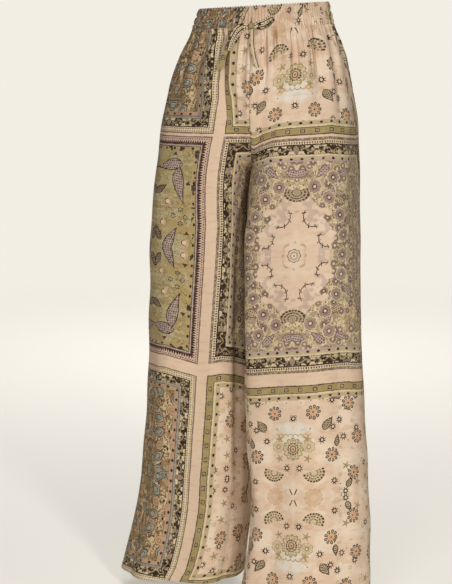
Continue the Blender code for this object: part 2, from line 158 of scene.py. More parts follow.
# Sharper creases, in the same terms: the deep ones under the waist seam, then drag lines lower down.
CREASES = {
    "left": (
        Fold(0.3985, 0.402, -0.010, -0.120, 0.0075, -0.0055),
        Fold(0.3210, 0.336, -0.010, -0.170, 0.0085, -0.0050),
        Fold(0.2640, 0.292, -0.010, -0.110, 0.0070, -0.0035),
        Fold(0.4560, 0.425, -0.010, -0.130, 0.0080, -0.0045),
        Fold(0.1950, 0.190, -0.010, -0.100, 0.0080, -0.0030),
        Fold(0.1080, 0.100, -0.010, -0.130, 0.0090, -0.0040),
        Fold(0.0450, 0.050, -0.010, -0.110, 0.0080, -0.0030),
        Fold(0.4900, 0.360, -0.230, -0.420, 0.0180, -0.0022),
        Fold(0.1500, 0.045, -0.850, -0.915, 0.0200, -0.0030),
        Fold(0.5600, 0.570, -0.010, -0.140, 0.0080, -0.0045),
        Fold(0.6300, 0.640, -0.010, -0.110, 0.0080, -0.0040),
        Fold(0.7050, 0.700, -0.010, -0.160, 0.0085, -0.0050),
        Fold(0.7900, 0.780, -0.010, -0.120, 0.0080, -0.0040),
        Fold(0.8700, 0.860, -0.010, -0.150, 0.0085, -0.0045),
        Fold(0.9400, 0.945, -0.010, -0.110, 0.0075, -0.0035),
        Fold(0.5100, 0.640, -0.230, -0.440, 0.0180, -0.0025),
    ),
    "right": (
        Fold(0.4390, 0.446, -0.010, -0.210, 0.0080, -0.0060),
        Fold(0.3600, 0.352, -0.010, -0.120, 0.0075, -0.0045),
        Fold(0.3150, 0.300, -0.010, -0.100, 0.0070, -0.0035),
        Fold(0.3840, 0.410, -0.010, -0.220, 0.0070, -0.0045),
        Fold(0.2550, 0.262, -0.010, -0.140, 0.0085, -0.0045),
        Fold(0.1700, 0.180, -0.010, -0.110, 0.0085, -0.0040),
        Fold(0.0900, 0.085, -0.010, -0.150, 0.0090, -0.0045),
        Fold(0.0250, 0.020, -0.010, -0.100, 0.0080, -0.0030),
        Fold(0.4880, 0.330, -0.240, -0.430, 0.0180, -0.0024),
        Fold(0.4300, 0.300, -0.560, -0.640, 0.0160, -0.0016),
        Fold(0.5500, 0.545, -0.010, -0.120, 0.0080, -0.0045),
        Fold(0.6200, 0.630, -0.010, -0.150, 0.0085, -0.0045),
        Fold(0.6950, 0.705, -0.010, -0.110, 0.0080, -0.0040),
        Fold(0.7700, 0.765, -0.010, -0.160, 0.0085, -0.0050),
        Fold(0.8450, 0.850, -0.010, -0.120, 0.0080, -0.0040),
        Fold(0.9200, 0.910, -0.010, -0.140, 0.0085, -0.0045),
        Fold(0.5100, 0.650, -0.240, -0.430, 0.0180, -0.0025),
    ),
}


def smooth(low, high, x):
    """0 below low, 1 above high, and t * t * (3 - 2t) between them."""
    t = np.clip((x - low) / (high - low), 0, 1)
    return t * t * (3 - 2 * t)


def sine(turns):
    """The sine of so many full turns."""
    return np.sin(2 * np.pi * turns)


def along(rows, column, z):
    """A table's column at height z: cubic curves through its rows, with the rows' own slopes."""
    heights = np.array([row.z for row in rows])[::-1]
    values = np.array([getattr(row, column) for row in rows])[::-1]
    slopes = np.gradient(values, heights)
    z = np.clip(z, heights[0], heights[-1])
    k = np.clip(np.searchsorted(heights, z) - 1, 0, len(heights) - 2)
    step = heights[k + 1] - heights[k]
    t = (z - heights[k]) / step
    return (
        values[k] * (1 + 2 * t) * (1 - t) ** 2
        + slopes[k] * step * t * (1 - t) ** 2
        + values[k + 1] * t * t * (3 - 2 * t)
        + slopes[k + 1] * step * t * t * (t - 1)
    )


def read_off(pairs, z):
    """Pairs of a height and a value, read at height z with straight lines between them."""
    heights, values = zip(*pairs)
    return np.interp(z, heights, values)


def side_of(leg):
    """+1 for the left leg and -1 for the right one, as their x."""
    return 1.0 if leg == "left" else -1.0


def from_inseam(s, width):
    """0 on the inseam and the middle seam, where s is 0.5, and 1 from that width on either side."""
    return smooth(0.0, width, np.abs(s - 0.5))


def torso_point(leg, s, z):
    """Half of an oval: x is its width times cos(pi t) and y its depth times sin(pi t); t is s or 1 - s."""
    front = s <= 0.5
    angle = np.pi * np.where(front, s, 1 - s)
    depth = np.where(front, -along(TORSO, "front", z), along(TORSO, "back", z))
    return along(TORSO, f"{leg}_x", z) * np.cos(angle), depth * np.sin(angle)


def leg_point(leg, s, z):
    """An oval with swollen corners: cos(a) - k cos(3a) across and sin(a) + k sin(3a) deep, over 1 - k."""
    rows, a = LEGS[leg], 2 * np.pi * s
    k = read_off(SQUARENESS, z)
    across = (np.cos(a) - k * np.cos(3 * a)) / (1 - k)
    deep = (np.sin(a) + k * np.sin(3 * a)) / (1 - k)
    outer = along(rows, "outer_x", z)
    middle_seam = read_off(SEAM_LEAN, z) + side_of(leg) * SEAM_GAP / 2
    inner = np.where(z < CROTCH, along(rows, "inner_x", z), middle_seam)
    depth = np.where(deep > 0, along(rows, "front", z), along(rows, "back", z))
    return (outer + inner) / 2 + across * (outer - inner) / 2, along(rows, "middle_y", z) - deep * depth


def plain_form(leg, s, z):
    """The plan without folds: the waist's oval and the leg's oval, mixed by height.

    At the middle seam the mix follows a quarter circle, 1 - sqrt(1 - t * t), which is the crotch curve.
    """
    t = np.clip((SPLIT_START - z) / (SPLIT_START - CROTCH), 0, 1)
    crotch_curve = 1 - np.sqrt(np.maximum(1 - t * t, 0))
    near_seam = smooth(0.41, 0.5, np.minimum(s, 1 - s))
    share = smooth(-LEG_START, -LEG_END, -z) * (1 - near_seam) + near_seam * crotch_curve
    tx, ty = torso_point(leg, s, z)
    lx, ly = leg_point(leg, s, z)
    return (1 - share) * tx + share * lx, (1 - share) * ty + share * ly


def out_of(leg, s, z):
    """The level direction out of the plain form: its slope round the leg, turned a quarter."""
    step = 0.0015
    low = np.where(s <= 0.5, s - step, np.maximum(s - step, BACK_INSEAM))
    high = np.where(s <= 0.5, np.minimum(s + step, FRONT_INSEAM), s + step)
    ax, ay = plain_form(leg, low % 1.0, z)
    bx, by = plain_form(leg, high % 1.0, z)
    nx, ny = (ay - by) * side_of(leg), (bx - ax) * side_of(leg)
    size = np.hypot(nx, ny)
    return nx / size, ny / size


def hip_tilt(x, z):
    """How far the worn hips lift a point: its x times the tilt at its height."""
    return x * read_off(HIP_TILT, z)


def waist_folds(leg, s, z):
    """A wave round the waist whose phase wanders, rounder on its ridges than in its valleys.

    It swells over the first 30 mm below the waistband and has died out 0.23 m below it.
    """
    side = side_of(leg)
    wander = 0.24 * sine(2 * s + 0.15 * side) + 0.08 * sine(5 * s + 0.3 * side)
    phase = 2 * np.pi * (FOLDS_A_LEG * s + wander)
    uneven = 0.75 + 0.25 * sine(3 * s + 0.4 + 0.2 * side)
    fall = BAND_BOTTOM - z
    strength = (0.18 + 0.82 * smooth(0.0, 0.030, fall)) * (1 - smooth(0.035, 0.230, fall)) ** 1.2
    wave = np.cos(phase) - 0.16 * np.cos(2 * phase)
    return FOLD_DEPTH * strength * uneven * from_inseam(s, 0.018) * wave


def fold_course(fold, z):
    """How far down a fold a height lies, 0 to 1, and the fold's place round the leg there."""
    t = np.clip((fold.top_z - z) / (fold.top_z - fold.low_z), 0, 1)
    return t, fold.top_s + (fold.low_s - fold.top_s) * t


def away_from(s, place):
    """The distance between two places round the leg, the shorter way."""
    return np.abs((s - place + 0.5) % 1.0 - 0.5)


def long_folds(s, z, folds):
    """The sum of a table's folds, each depth times exp(-(distance round the leg / width) ** 2)."""
    total = 0.0
    for fold in folds:
        t, middle = fold_course(fold, z)
        grows = smooth(0.0, 0.35, t) * (0.6 + 0.4 * t) * (1 - smooth(0.97, 1.0, t) * (fold.low_z > HEM))
        total = total + fold.depth * grows * np.exp(-((away_from(s, middle) / fold.width) ** 2.0))
    return total


def sharp_creases(s, z, folds):
    """As long_folds, but each is at its deepest a quarter of the way down and its section is nearly a V."""
    total = 0.0
    for fold in folds:
        t, middle = fold_course(fold, z)
        grows = smooth(0.0, 0.15, t) * (1 - smooth(0.25, 1.0, t))
        total = total + 1.35 * fold.depth * grows * np.exp(-((away_from(s, middle) / fold.width) ** 1.4))
    return total * from_inseam(s, 0.012)


def small_gathers(leg, s, z):
    """Fine puckers where the cloth is eased into the waist seam: two waves of about 7 and 11 mm."""
    side = side_of(leg)
    fine = np.cos(2 * np.pi * (47 * s + 0.35 * np.sin(2 * np.pi * 5 * s + side)))
    coarse = np.cos(2 * np.pi * (31 * s + 0.4 * np.sin(2 * np.pi * 3 * s + 2 * side)) + 1.0)
    return 0.0009 * (fine + 0.7 * coarse) * from_inseam(s, 0.012) * smooth(-0.055, -0.020, z)


def pleats(leg, s, z):
    """Narrow folds let out of the waist gathers: sharp valleys with round ridges, 25 round each leg.

    Valley number k is depth_k * exp(-(distance / width)^2); it opens as it falls and ends at length_k.
    """
    side = side_of(leg)
    place = PLEATS_A_LEG * s + 0.30 * sine(3 * s + 0.2 * side) + 0.15 * sine(7 * s)
    k = np.round(place) % PLEATS_A_LEG
    length = 0.085 + 0.060 * np.sin(2.4 * k + side)
    t = np.clip((WAIST_SEAM - z) / length, 0, 1)
    fades = (1 - smooth(0.30, 1.0, t)) * (0.45 + 0.55 * smooth(0.0, 0.2, t))
    depth = (PLEAT_DEPTH + 0.0033 * np.sin(5.1 * k + side)) * fades
    valley = np.exp(-(((place - np.round(place)) / (0.11 + 0.15 * t)) ** 2))
    return depth * from_inseam(s, 0.014) * (0.22 * np.cos(2 * np.pi * place) - valley)


def soft_dents(leg, s, z):
    """The hand of limp cloth: three slow waves that cross at a slant, about a millimetre deep."""
    side = side_of(leg)
    a = sine(3 * s + 5.0 * z + 0.3 * side) * sine(5 * s - 3.1 * z)
    b = np.sin(2 * np.pi * (8 * s + 4.3 * z + 0.6 * side) + 1.3 * sine(2.2 * z))
    c = np.sin(2 * np.pi * (6 * s - 9.0 * z + 0.2 * side) + 1.1 * sine(3 * s))
    return (0.0011 * a + 0.00045 * b + 0.00035 * c) * smooth(0.06, 0.20, -z) * from_inseam(s, 0.015)


def seams_and_hem(s, z):
    """A shallow puckered groove along each side of a panel, and a turned-up hem 11 mm deep with its own.

    The distance from a seam is a share of the leg's girth, about 0.68 m.
    """
    girth, groove_width = 0.68, 0.0022
    from_seam = np.minimum(np.minimum(s, 1 - s), np.abs(s - 0.5)) * girth
    pucker = 1 + 0.25 * np.sin(2 * np.pi * z / 0.013)
    groove = -0.0008 * pucker * np.exp(-((from_seam / groove_width) ** 2))
    hem_top = HEM + HEM_DEPTH
    turned_up = 0.0005 * (1 - smooth(hem_top - 0.0015, hem_top, z))
    stitched = -0.0005 * np.exp(-(((z - hem_top) / 0.0018) ** 2))
    return groove + turned_up + stitched


def folded_form(leg, s, z):
    """The plain form plus all the folds along its level normal.

    The top edge is a flat seam allowance that stands up behind the waistband, 1.6 mm further in.
    """
    x, y = plain_form(leg, s, z)
    nx, ny = out_of(leg, s, z)
    out = waist_folds(leg, s, z) + long_folds(s, z, FOLDS[leg]) + sharp_creases(s, z, CREASES[leg])
    out = out + pleats(leg, s, z) + small_gathers(leg, s, z) + soft_dents(leg, s, z) + seams_and_hem(s, z)
    allowance = smooth(WAIST_SEAM - 0.0003, WAIST_SEAM + 0.0015, z)
    out = out * (1 - allowance) - ALLOWANCE_INSET * allowance
    return np.array([x + nx * out, y + ny * out])


def leg_surface(leg, s, z):
    """The folded form, lifted by the tilt of the hips.

    Above the crotch both legs' edges are drawn to the line half way between them, where they are sewn,
    and no point crosses it.
    """
    seam = np.where(s <= 0.5, FRONT_INSEAM, BACK_INSEAM)
    sewn = (folded_form("left", seam, z) + folded_form("right", seam, z)) / 2
    joined = smooth(CROTCH, CROTCH + 0.004, z)
    near = joined * (1 - from_inseam(s, 0.020))
    x, y = folded_form(leg, s, z) + near * (sewn - folded_form(leg, seam, z))
    x = x + joined * side_of(leg) * np.maximum(side_of(leg) * (sewn[0] - x), 0)
    return np.stack([x, y, z + hip_tilt(x, z)], axis=-1)


# ---------------------------------------------------------------- leg panels: where the print lies
# The cloth is printed like joined scarves: framed panels in two columns, parted by plain blush bands.
# On each leg a grain line is known at every height, and the print is laid from it in real metres.
WIDE_MIDDLE = 0.230  # print x of the wide column's middle; a plain band is centred at print x = 0
# Height, then the length of cloth from the side seam to the grain line on the front.
GRAIN_LINE = {
    "left": (
        (-1.040, 0.189), (-0.990, 0.188), (-0.925, 0.184), (-0.850, 0.177), (-0.677, 0.167), (-0.500, 0.167),
        (-0.410, 0.172), (-0.302, 0.170), (-0.210, 0.160), (-0.152, 0.146), (-0.111, 0.135), (-0.041, 0.112),
        (0.021, 0.092),
    ),
    "right": (
        (-1.040, 0.185), (-1.015, 0.191), (-0.979, 0.190), (-0.942, 0.187), (-0.906, 0.184), (-0.850, 0.178),
        (-0.766, 0.177), (-0.676, 0.178), (-0.585, 0.184), (-0.504, 0.192), (-0.374, 0.205), (-0.205, 0.199),
        (-0.142, 0.190), (-0.091, 0.173), (-0.065, 0.161), (-0.0385, 0.149), (-0.0168, 0.137),
        (-0.0160, 0.154), (0.021, 0.150),
    ),
}
# Print x on each leg's grain line in front, and down the middle of its back panel, which is cut apart.
FRONT_GRAIN = {"left": WIDE_MIDDLE, "right": 0.0}
BACK_GRAIN = {"left": -0.110, "right": WIDE_MIDDLE}
BACK_MIDDLE = 0.75  # its place round the leg
# Cloth taken up inside the deep folds at the waist, in a fold's terms; depth is the length taken up.
TUCKS = {
    "left": (
        Fold(0.394, 0.402, -0.010, -0.120, 0.004, 0.005),
        Fold(0.326, 0.345, -0.010, -0.110, 0.004, 0.005),
        Fold(0.448, 0.446, -0.010, -0.130, 0.004, 0.004),
    ),
    "right": (
        Fold(0.383, 0.412, -0.0155, -0.210, 0.003, 0.015),
        Fold(0.445, 0.470, -0.0155, -0.150, 0.004, 0.006),
    ),
}
# How far the print's level lines hang below (-) or ride above (+) where they would lie on flat cloth:
# places round the leg, then the drift there at the print's upper line, its lower band and the hem.
PRINT_DRIFT = {
    "left": (
        (0.00, 0.10, 0.175, 0.24, 0.31, 0.36, 0.405, 0.48, 0.60, 0.75, 0.90, 1.00),
        (0.007, 0.002, -0.002, 0.000, 0.002, 0.005, 0.012, 0.022, 0.012, 0.000, 0.004, 0.007),
        (0.005, -0.004, -0.004, 0.001, 0.008, 0.013, 0.016, 0.020, 0.012, 0.000, 0.003, 0.005),
        (0.002, -0.002, -0.002, 0.000, 0.003, 0.004, 0.005, 0.006, 0.004, 0.000, 0.001, 0.002),
    ),
    "right": (
        (0.00, 0.09, 0.185, 0.227, 0.27, 0.305, 0.345, 0.41, 0.46, 0.60, 0.80, 1.00),
        (0.0,) * 12,
        (-0.004, -0.006, -0.008, -0.001, 0.007, 0.005, 0.001, 0.008, 0.018, 0.012, 0.000, -0.004),
        (0.000, -0.004, -0.004, 0.000, 0.003, 0.002, 0.000, 0.002, 0.004, 0.003, 0.000, 0.000),
    ),
}


def outline_lengths(leg, s, z):
    """The length of the plain form's outline from the side seam to s, and to the middle of the back.

    Both are summed along outlines at even heights and read off with straight lines between them.
    """
    steps = np.linspace(0.0, 1.0, 401)
    rows = np.linspace(HEM, BAND_TOP, 120)
    px, py = plain_form(leg, *np.meshgrid(steps, rows))
    lengths = np.zeros_like(px)
    lengths[:, 1:] = np.cumsum(np.hypot(np.diff(px, axis=1), np.diff(py, axis=1)), axis=1)
    row = np.clip((z - rows[0]) / (rows[1] - rows[0]), 0, len(rows) - 1.001)
    column = np.clip(s, 0, 1) * (len(steps) - 1)
    i, j = row.astype(int), np.minimum(column.astype(int), len(steps) - 2)
    u, v = row - i, column - j
    lower = lengths[i, j] * (1 - v) + lengths[i, j + 1] * v
    upper = lengths[i + 1, j] * (1 - v) + lengths[i + 1, j + 1] * v
    m = int(BACK_MIDDLE * (len(steps) - 1))
    return lower * (1 - u) + upper * u, lengths[i, m] * (1 - u) + lengths[i + 1, m] * u


def print_place(leg, s, z):
    """Where the cloth's print lies at a point, in metres of flat cloth: (x, y).

    x is the length of the plain form's outline from the grain line, with the tucks' cloth added; it
    grows to the right as the front is seen. A back panel's grain line runs down its middle. y is the
    height plus the drift.
    """
    length, back_grain = outline_lengths(leg, s, z)
    for tuck in TUCKS[leg]:
        t, middle = fold_course(tuck, z)
        taken = tuck.depth * (1 - smooth(0.45, 1.0, t)) * (z < tuck.top_z)
        length = length + taken * smooth(-tuck.width, tuck.width, s - middle) * (s < BACK_MIDDLE)
    is_front = s <= 0.5
    grain = np.where(is_front, read_off(GRAIN_LINE[leg], z), back_grain)
    x = np.where(is_front, FRONT_GRAIN[leg], BACK_GRAIN[leg]) - side_of(leg) * (length - grain)
    places, *drifts = PRINT_DRIFT[leg]
    upper, lower, foot = (np.interp(s, places, drift) for drift in drifts)
    to_lower = smooth(0.21, 0.64, -z)
    to_foot = smooth(0.66, 1.00, -z)
    y = z + (upper * (1 - to_lower) + lower * to_lower) * (1 - to_foot) + foot * to_foot
    return x, y


def add_piece(name, points, print_xy, flip, ring=False):
    """A mesh from a grid of points, with its print place as the UV map. A ring closes on itself."""
    rows, columns = points.shape[:2]
    i, j = np.meshgrid(np.arange(rows - 1), np.arange(columns if ring else columns - 1), indexing="ij")
    here, below, k = i * columns, (i + 1) * columns, (j + 1) % columns
    corners = np.stack([here + j, here + k, below + k, below + j], axis=-1).reshape(-1, 4)
    if flip:
        corners = corners[:, ::-1]
    mesh = bpy.data.meshes.new(name)
    mesh.from_pydata(points.reshape(-1, 3), [], corners.tolist())
    layer = mesh.uv_layers.new(name="print")
    layer.data.foreach_set("uv", print_xy.reshape(-1, 2)[corners.reshape(-1)].astype(np.float32).ravel())
    mesh.shade_smooth()
    piece = bpy.data.objects.new(name, mesh)
    bpy.context.scene.collection.objects.link(piece)
    return piece


def give_thickness(piece, thickness):
    """The sheet gets its wall on the inner side, so that its outer face stays where it is."""
    wall = piece.modifiers.new("thickness", "SOLIDIFY")
    wall.thickness = thickness
    wall.offset = -1.0
    wall.use_quality_normals = True


PANEL_CLOTH = 0.0006
PANEL_COLUMNS = 150
PANEL_TOP = -0.0115
HEM_ROWS_START = HEM + 0.016
# Rows of points lie closest where the folds are smallest, at the waist and at the hem.
panel_rows = np.concatenate([
    np.linspace(PANEL_TOP, -0.130, 66, endpoint=False),
    np.linspace(-0.130, -0.300, 62, endpoint=False),
    np.linspace(-0.300, HEM_ROWS_START, 150, endpoint=False),
    np.linspace(HEM_ROWS_START, HEM, 13),
])
leg_panels = []
for leg in ("left", "right"):
    for half, first, last, facing in (("front", 0.0, FRONT_INSEAM, -1.0), ("back", 1.0, BACK_INSEAM, 1.0)):
        s, z = np.meshgrid(np.linspace(first, last, PANEL_COLUMNS + 1), panel_rows)
        outer_face = leg_surface(leg, s, z)
        print_xy = np.stack(print_place(leg, s, z), axis=-1)
        panel = add_piece(f"{half}_{leg}_cloth", outer_face, print_xy, flip=side_of(leg) * facing > 0)
        give_thickness(panel, PANEL_CLOTH)
        leg_panels.append((panel, leg, half))


# ---------------------------------------------------------------- leg panels: the print
# Matt ink on blush cloth. Each framed panel has its own border stripes and its own ground:
# A pale with loose flowers, B dense mauve flowers, C olive with curved leaves, D small brown flowers.
class Amount:
    """A number that changes over the cloth, so that a pattern's formula can be written out.

    Between masks, & is 1 where both are and | where either is.
    """

    def __init__(self, socket):
        self.socket, self.tree = socket, socket.id_data

    def math(self, operation, *others):
        node = self.tree.nodes.new("ShaderNodeMath")
        node.operation = operation
        for socket, value in zip(node.inputs, (self, *others)):
            feed(socket, value)
        return Amount(node.outputs[0])

    def __add__(self, other):
        return self.math("ADD", other)

    def __sub__(self, other):
        return self.math("SUBTRACT", other)

    def __mul__(self, other):
        return self.math("MULTIPLY", other)

    def __truediv__(self, other):
        return self.math("DIVIDE", other)

    def __mod__(self, other):
        return self.math("FLOORED_MODULO", other)

    def __lt__(self, other):
        return self.math("LESS_THAN", other)

    def __gt__(self, other):
        return self.math("GREATER_THAN", other)

    def __abs__(self):
        return self.math("ABSOLUTE")

    def __and__(self, other):
        return self.math("MULTIPLY", other)

    def __or__(self, other):
        return self.math("MAXIMUM", other)

    def under(self, other):
        """The smaller of the two."""
        return self.math("MINIMUM", other)

    def near(self, place, reach):
        """1 where it lies no further than reach from a place, else 0."""
        return abs(self - place) < reach

    def between(self, low, high):
        """1 above low and below high, else 0."""
        return (self > low) & (self < high)

    def rest(self):
        """What it has past the last whole number."""
        return self.math("FRACT")

    def length_with(self, other):
        """The length of the slanted side over the two."""
        return (self * self + other * other).math("SQRT")

    def cell(self, pitch):
        """The distance from the middle of the nearest of a row of cells that are pitch long."""
        return (self % pitch) - pitch / 2

    def rise(self, low, high):
        """0 below low, 1 above high and a smooth step between them."""
        node = self.tree.nodes.new("ShaderNodeMapRange")
        node.interpolation_type = "SMOOTHSTEP"
        for socket, value in zip(node.inputs, (self, low, high)):
            feed(socket, value)
        return Amount(node.outputs[0])


def feed(socket, value):
    """An amount is joined to the socket; a plain number or colour is set in it."""
    if isinstance(value, Amount):
        socket.id_data.links.new(value.socket, socket)
    else:
        socket.default_value = value


def new_group(name, **inputs):
    """A node group with the named inputs, each set to its usual value; returns it and the inputs."""
    group = bpy.data.node_groups.new(name, "ShaderNodeTree")
    for title, value in inputs.items():
        title = title.replace("_", " ")
        socket = group.interface.new_socket(name=title, in_out="INPUT", socket_type="NodeSocketFloat")
        socket.default_value = value
    start = group.nodes.new("NodeGroupInput")
    return group, [Amount(socket) for socket in start.outputs if socket.name]


def close_group(group, **outputs):
    """The group is finished with the named outputs, each a colour or a number, and returned."""
    end = group.nodes.new("NodeGroupOutput")
    for title, amount in outputs.items():
        title = title.replace("_", " ")
        kind = "NodeSocketColor" if amount.socket.type == "RGBA" else "NodeSocketFloat"
        group.interface.new_socket(name=title, in_out="OUTPUT", socket_type=kind)
        group.links.new(amount.socket, end.inputs[title])
    return group


def place_group(tree, group, *values):
    """The group in a tree, fed in the order of its inputs.

    A lone output is returned as it is, and several under their own names in small letters.
    """
    node = tree.nodes.new("ShaderNodeGroup")
    node.node_tree = group
    for socket, value in zip(node.inputs, values):
        feed(socket, value)
    found = {socket.name.lower().replace(" ", "_"): Amount(socket) for socket in node.outputs}
    return SimpleNamespace(**found) if len(found) > 1 else Amount(node.outputs[0])


def vector(x, y):
    """x and y in one socket."""
    node = x.tree.nodes.new("ShaderNodeCombineXYZ")
    for socket, value in zip(node.inputs, (x, y)):
        feed(socket, value)
    return Amount(node.outputs[0])


def parts_of(amount):
    """The three numbers in a vector or a colour."""
    node = amount.tree.nodes.new("ShaderNodeSeparateXYZ")
    feed(node.inputs[0], amount)
    return [Amount(socket) for socket in node.outputs]


def paint(under, *layers):
    """Colours laid over another, the last on top. A layer is a colour and how far it covers, 0 to 1."""
    for colour, cover in layers:
        node = cover.tree.nodes.new("ShaderNodeMix")
        node.data_type = "RGBA"
        for number, value in ((0, cover), (6, under), (7, colour)):
            feed(node.inputs[number], value)
        under = Amount(node.outputs[2])
    return under


def stripes(amount, *widths_and_colours):
    """Stripes side by side from 0 on, each of its own width, 50 mm in all at most."""
    whole = 0.05
    node = amount.tree.nodes.new("ShaderNodeValToRGB")
    node.color_ramp.interpolation = "CONSTANT"
    feed(node.inputs[0], amount / whole)
    elements, place = node.color_ramp.elements, 0.0
    for number, (width, colour) in enumerate(widths_and_colours):
        element = elements[number] if number < 2 else elements.new(place)
        element.position, element.color = place, colour
        place += width / whole
    return Amount(node.outputs[0])


def noise(x, y, scale, detail=2.0):
    """Uneven clouds from 0 to 1, so many to a metre."""
    node = x.tree.nodes.new("ShaderNodeTexNoise")
    node.noise_dimensions = "2D"
    feed(node.inputs["Vector"], vector(x, y))
    node.inputs["Scale"].default_value = scale
    node.inputs["Detail"].default_value = detail
    return Amount(node.outputs[0])


def scatter(x, y, pitch, loose):
    """Cells about pitch apart: a point's place from its cell's middle, and two random numbers of the cell."""
    node = x.tree.nodes.new("ShaderNodeTexVoronoi")
    node.voronoi_dimensions = "2D"
    feed(node.inputs["Vector"], vector(x, y))
    node.inputs["Scale"].default_value = 1.0 / pitch
    node.inputs["Randomness"].default_value = loose
    middle_x, middle_y, _ = parts_of(Amount(node.outputs["Position"]))
    first, second, _ = parts_of(Amount(node.outputs["Color"]))
    return x - middle_x, y - middle_y, first, second


def nearest(x, y, *places):
    """A point's place from the nearest of some motifs' middles."""
    near_x, near_y = places[0]
    best = (x - near_x).length_with(y - near_y)
    for place_x, place_y in places[1:]:
        distance = (x - place_x).length_with(y - place_y)
        closer = distance < best
        best = best.under(distance)
        if isinstance(near_x, Amount):
            near_x = near_x + closer * (near_x * -1.0 + place_x)
            near_y = near_y + closer * (near_y * -1.0 + place_y)
        else:
            near_x = closer * (place_x - near_x) + near_x
            near_y = closer * (place_y - near_y) + near_y
    return x - near_x, y - near_y


def turn_of(x, y):
    """The direction of a point, from 0 to 1 round the middle."""
    return y.math("ARCTAN2", x) / (2 * np.pi) + 0.5


def petal_place(turn, count):
    """Where a direction lies across its own one of count petals or rays, from -0.5 to 0.5."""
    return (turn * count).rest() - 0.5


def dashed(turn, count, gap):
    """1 on each of count dashes round the middle; the gaps between them take up that share."""
    return (turn * count).rest() > gap


def ink(red, green, blue):
    """A colour that hides what is under it."""
    return (red, green, blue, 1.0)


FULL_TURN = 6.28  # near enough for leaves that lie at random

# The inks, as shares of red, green and blue light.
BLUSH = ink(0.640, 0.462, 0.322)
PALE = ink(0.695, 0.550, 0.405)
CHALK = ink(0.66, 0.60, 0.50)
CREAM = ink(0.600, 0.468, 0.292)
PINK = ink(0.560, 0.375, 0.270)
PEACH = ink(0.550, 0.320, 0.180)
APRICOT = ink(0.48, 0.310, 0.165)
COPPER = ink(0.40, 0.245, 0.145)
SAND = ink(0.55, 0.445, 0.265)
OCHRE = ink(0.47, 0.345, 0.190)
GOLD = ink(0.370, 0.265, 0.110)
PALE_OLIVE = ink(0.45, 0.41, 0.27)
OLIVE_CREAM = ink(0.440, 0.338, 0.190)
OLIVE = ink(0.315, 0.238, 0.098)
MOSS = ink(0.190, 0.138, 0.055)
DEEP_OLIVE = ink(0.160, 0.118, 0.055)
BARK = ink(0.120, 0.083, 0.036)
LILAC = ink(0.400, 0.290, 0.245)
MAUVE = ink(0.280, 0.188, 0.135)
DEEP_MAUVE = ink(0.185, 0.122, 0.094)
TAUPE = ink(0.170, 0.112, 0.082)
PALE_GREY = ink(0.46, 0.42, 0.32)
GREY_GREEN = ink(0.300, 0.280, 0.200)
GREY_BLUE = ink(0.250, 0.237, 0.185)
SLATE = ink(0.165, 0.145, 0.098)
RUST = ink(0.235, 0.105, 0.048)
SOOT = ink(0.055, 0.042, 0.032)
PLUM = ink(0.058, 0.033, 0.023)
DARK = ink(0.026, 0.015, 0.010)


def flower_group():
    """A full flower with round petals: its outline is size * (0.74 + 0.26 sqrt|cos(petals * angle / 2)|).

    Outside in: a dark edge, the petals with fine veins, a ring round the eye, and the eye.
    """
    group, (x, y, size, petals) = new_group("flower", X=0.0, Y=0.0, Size=0.01, Petals=8.0)
    r = x.length_with(y) / size
    turn = turn_of(x, y) * petals
    outwards = r / (abs((turn * np.pi).math("COSINE")).math("SQRT") * 0.26 + 0.74)
    vein = abs(petal_place(turn, 3.0)) * r < 0.11
    return close_group(
        group,
        Petals=outwards < 1.0,
        Edge=outwards.between(0.88, 1.0),
        Veins=vein & (r > 0.38) & (outwards < 0.75),
        Ring=r.near(0.27, 0.045),
        Eye=r < 0.20,
    )


def ring_flower_group():
    """A dark ring with eight short rays, and a plain five-rayed star of the same size."""
    group, (x, y) = new_group("ring flower and star", X=0.0, Y=0.0)
    r, turn = x.length_with(y), turn_of(x, y)
    ray = (abs(petal_place(turn, 8.0)) * r < 0.0009) & r.between(0.0042, 0.0070)
    star = (abs(petal_place(turn, 5.0)) * r < (r * -0.16 + 0.0017)) & (r < 0.0080)
    return close_group(group, Ring_flower=r.near(0.0034, 0.0010) | ray, Star=star)


def rosette_group():
    """A wavy peach heart in a ring of nine dark petals, each an ellipse that is hollow inside."""
    count, ring_r, half_width, half_length = 9, 0.0098, 0.0027, 0.0034
    group, (x, y) = new_group("rosette", X=0.0, Y=0.0)
    r, turn = x.length_with(y), turn_of(x, y)
    aside = petal_place(turn, count) * (2 * np.pi * ring_r / count)
    petal = (aside / half_width).length_with((r - ring_r) / half_length)
    heart = r / ((turn * (count * 2 * np.pi)).math("COSINE") * 0.12 + 1.0) < 0.0068
    return close_group(group, Heart=heart, Petals=petal < 1.0, Hollow=petal < 0.45, Eye=r < 0.0016)


def leaf_group():
    """A paisley leaf: half width is width * (1 - t^2) * (0.75 - 0.4 t), where t is along / length.

    Its middle line, which curls towards the thin tip, lies bend / 2 * (u^2 + 2 u length) to one side.
    It has a dark edge, and either slanted side veins or fine dots.
    """
    group, (x, y, turn, length, width, bend) = new_group(
        "leaf", X=0.0, Y=0.0, Turn=0.0, Length=0.02, Width=0.01, Bend=0.0
    )
    c, s = turn.math("COSINE"), turn.math("SINE")
    u = x * c + y * s
    v = y * c - x * s + (u + length * 2.0) * u * bend * 0.5
    t = u / length
    inside = width * (t * t * -1.0 + 1.0) * ((t * -0.40 + 0.75) | 0.0) - abs(v)
    stripe = abs((u + abs(v) * 0.7).cell(0.0036)) < 0.0008
    dots = u.cell(0.0044).length_with(v.cell(0.0044)) < 0.0012
    return close_group(
        group,
        Body=inside > 0.0,
        Edge=inside.between(-0.0005, 0.0014) & (abs(t) < 1.0),
        Veins=(inside > 0.0) & stripe,
        Dots=(inside > 0.0016) & dots,
    )


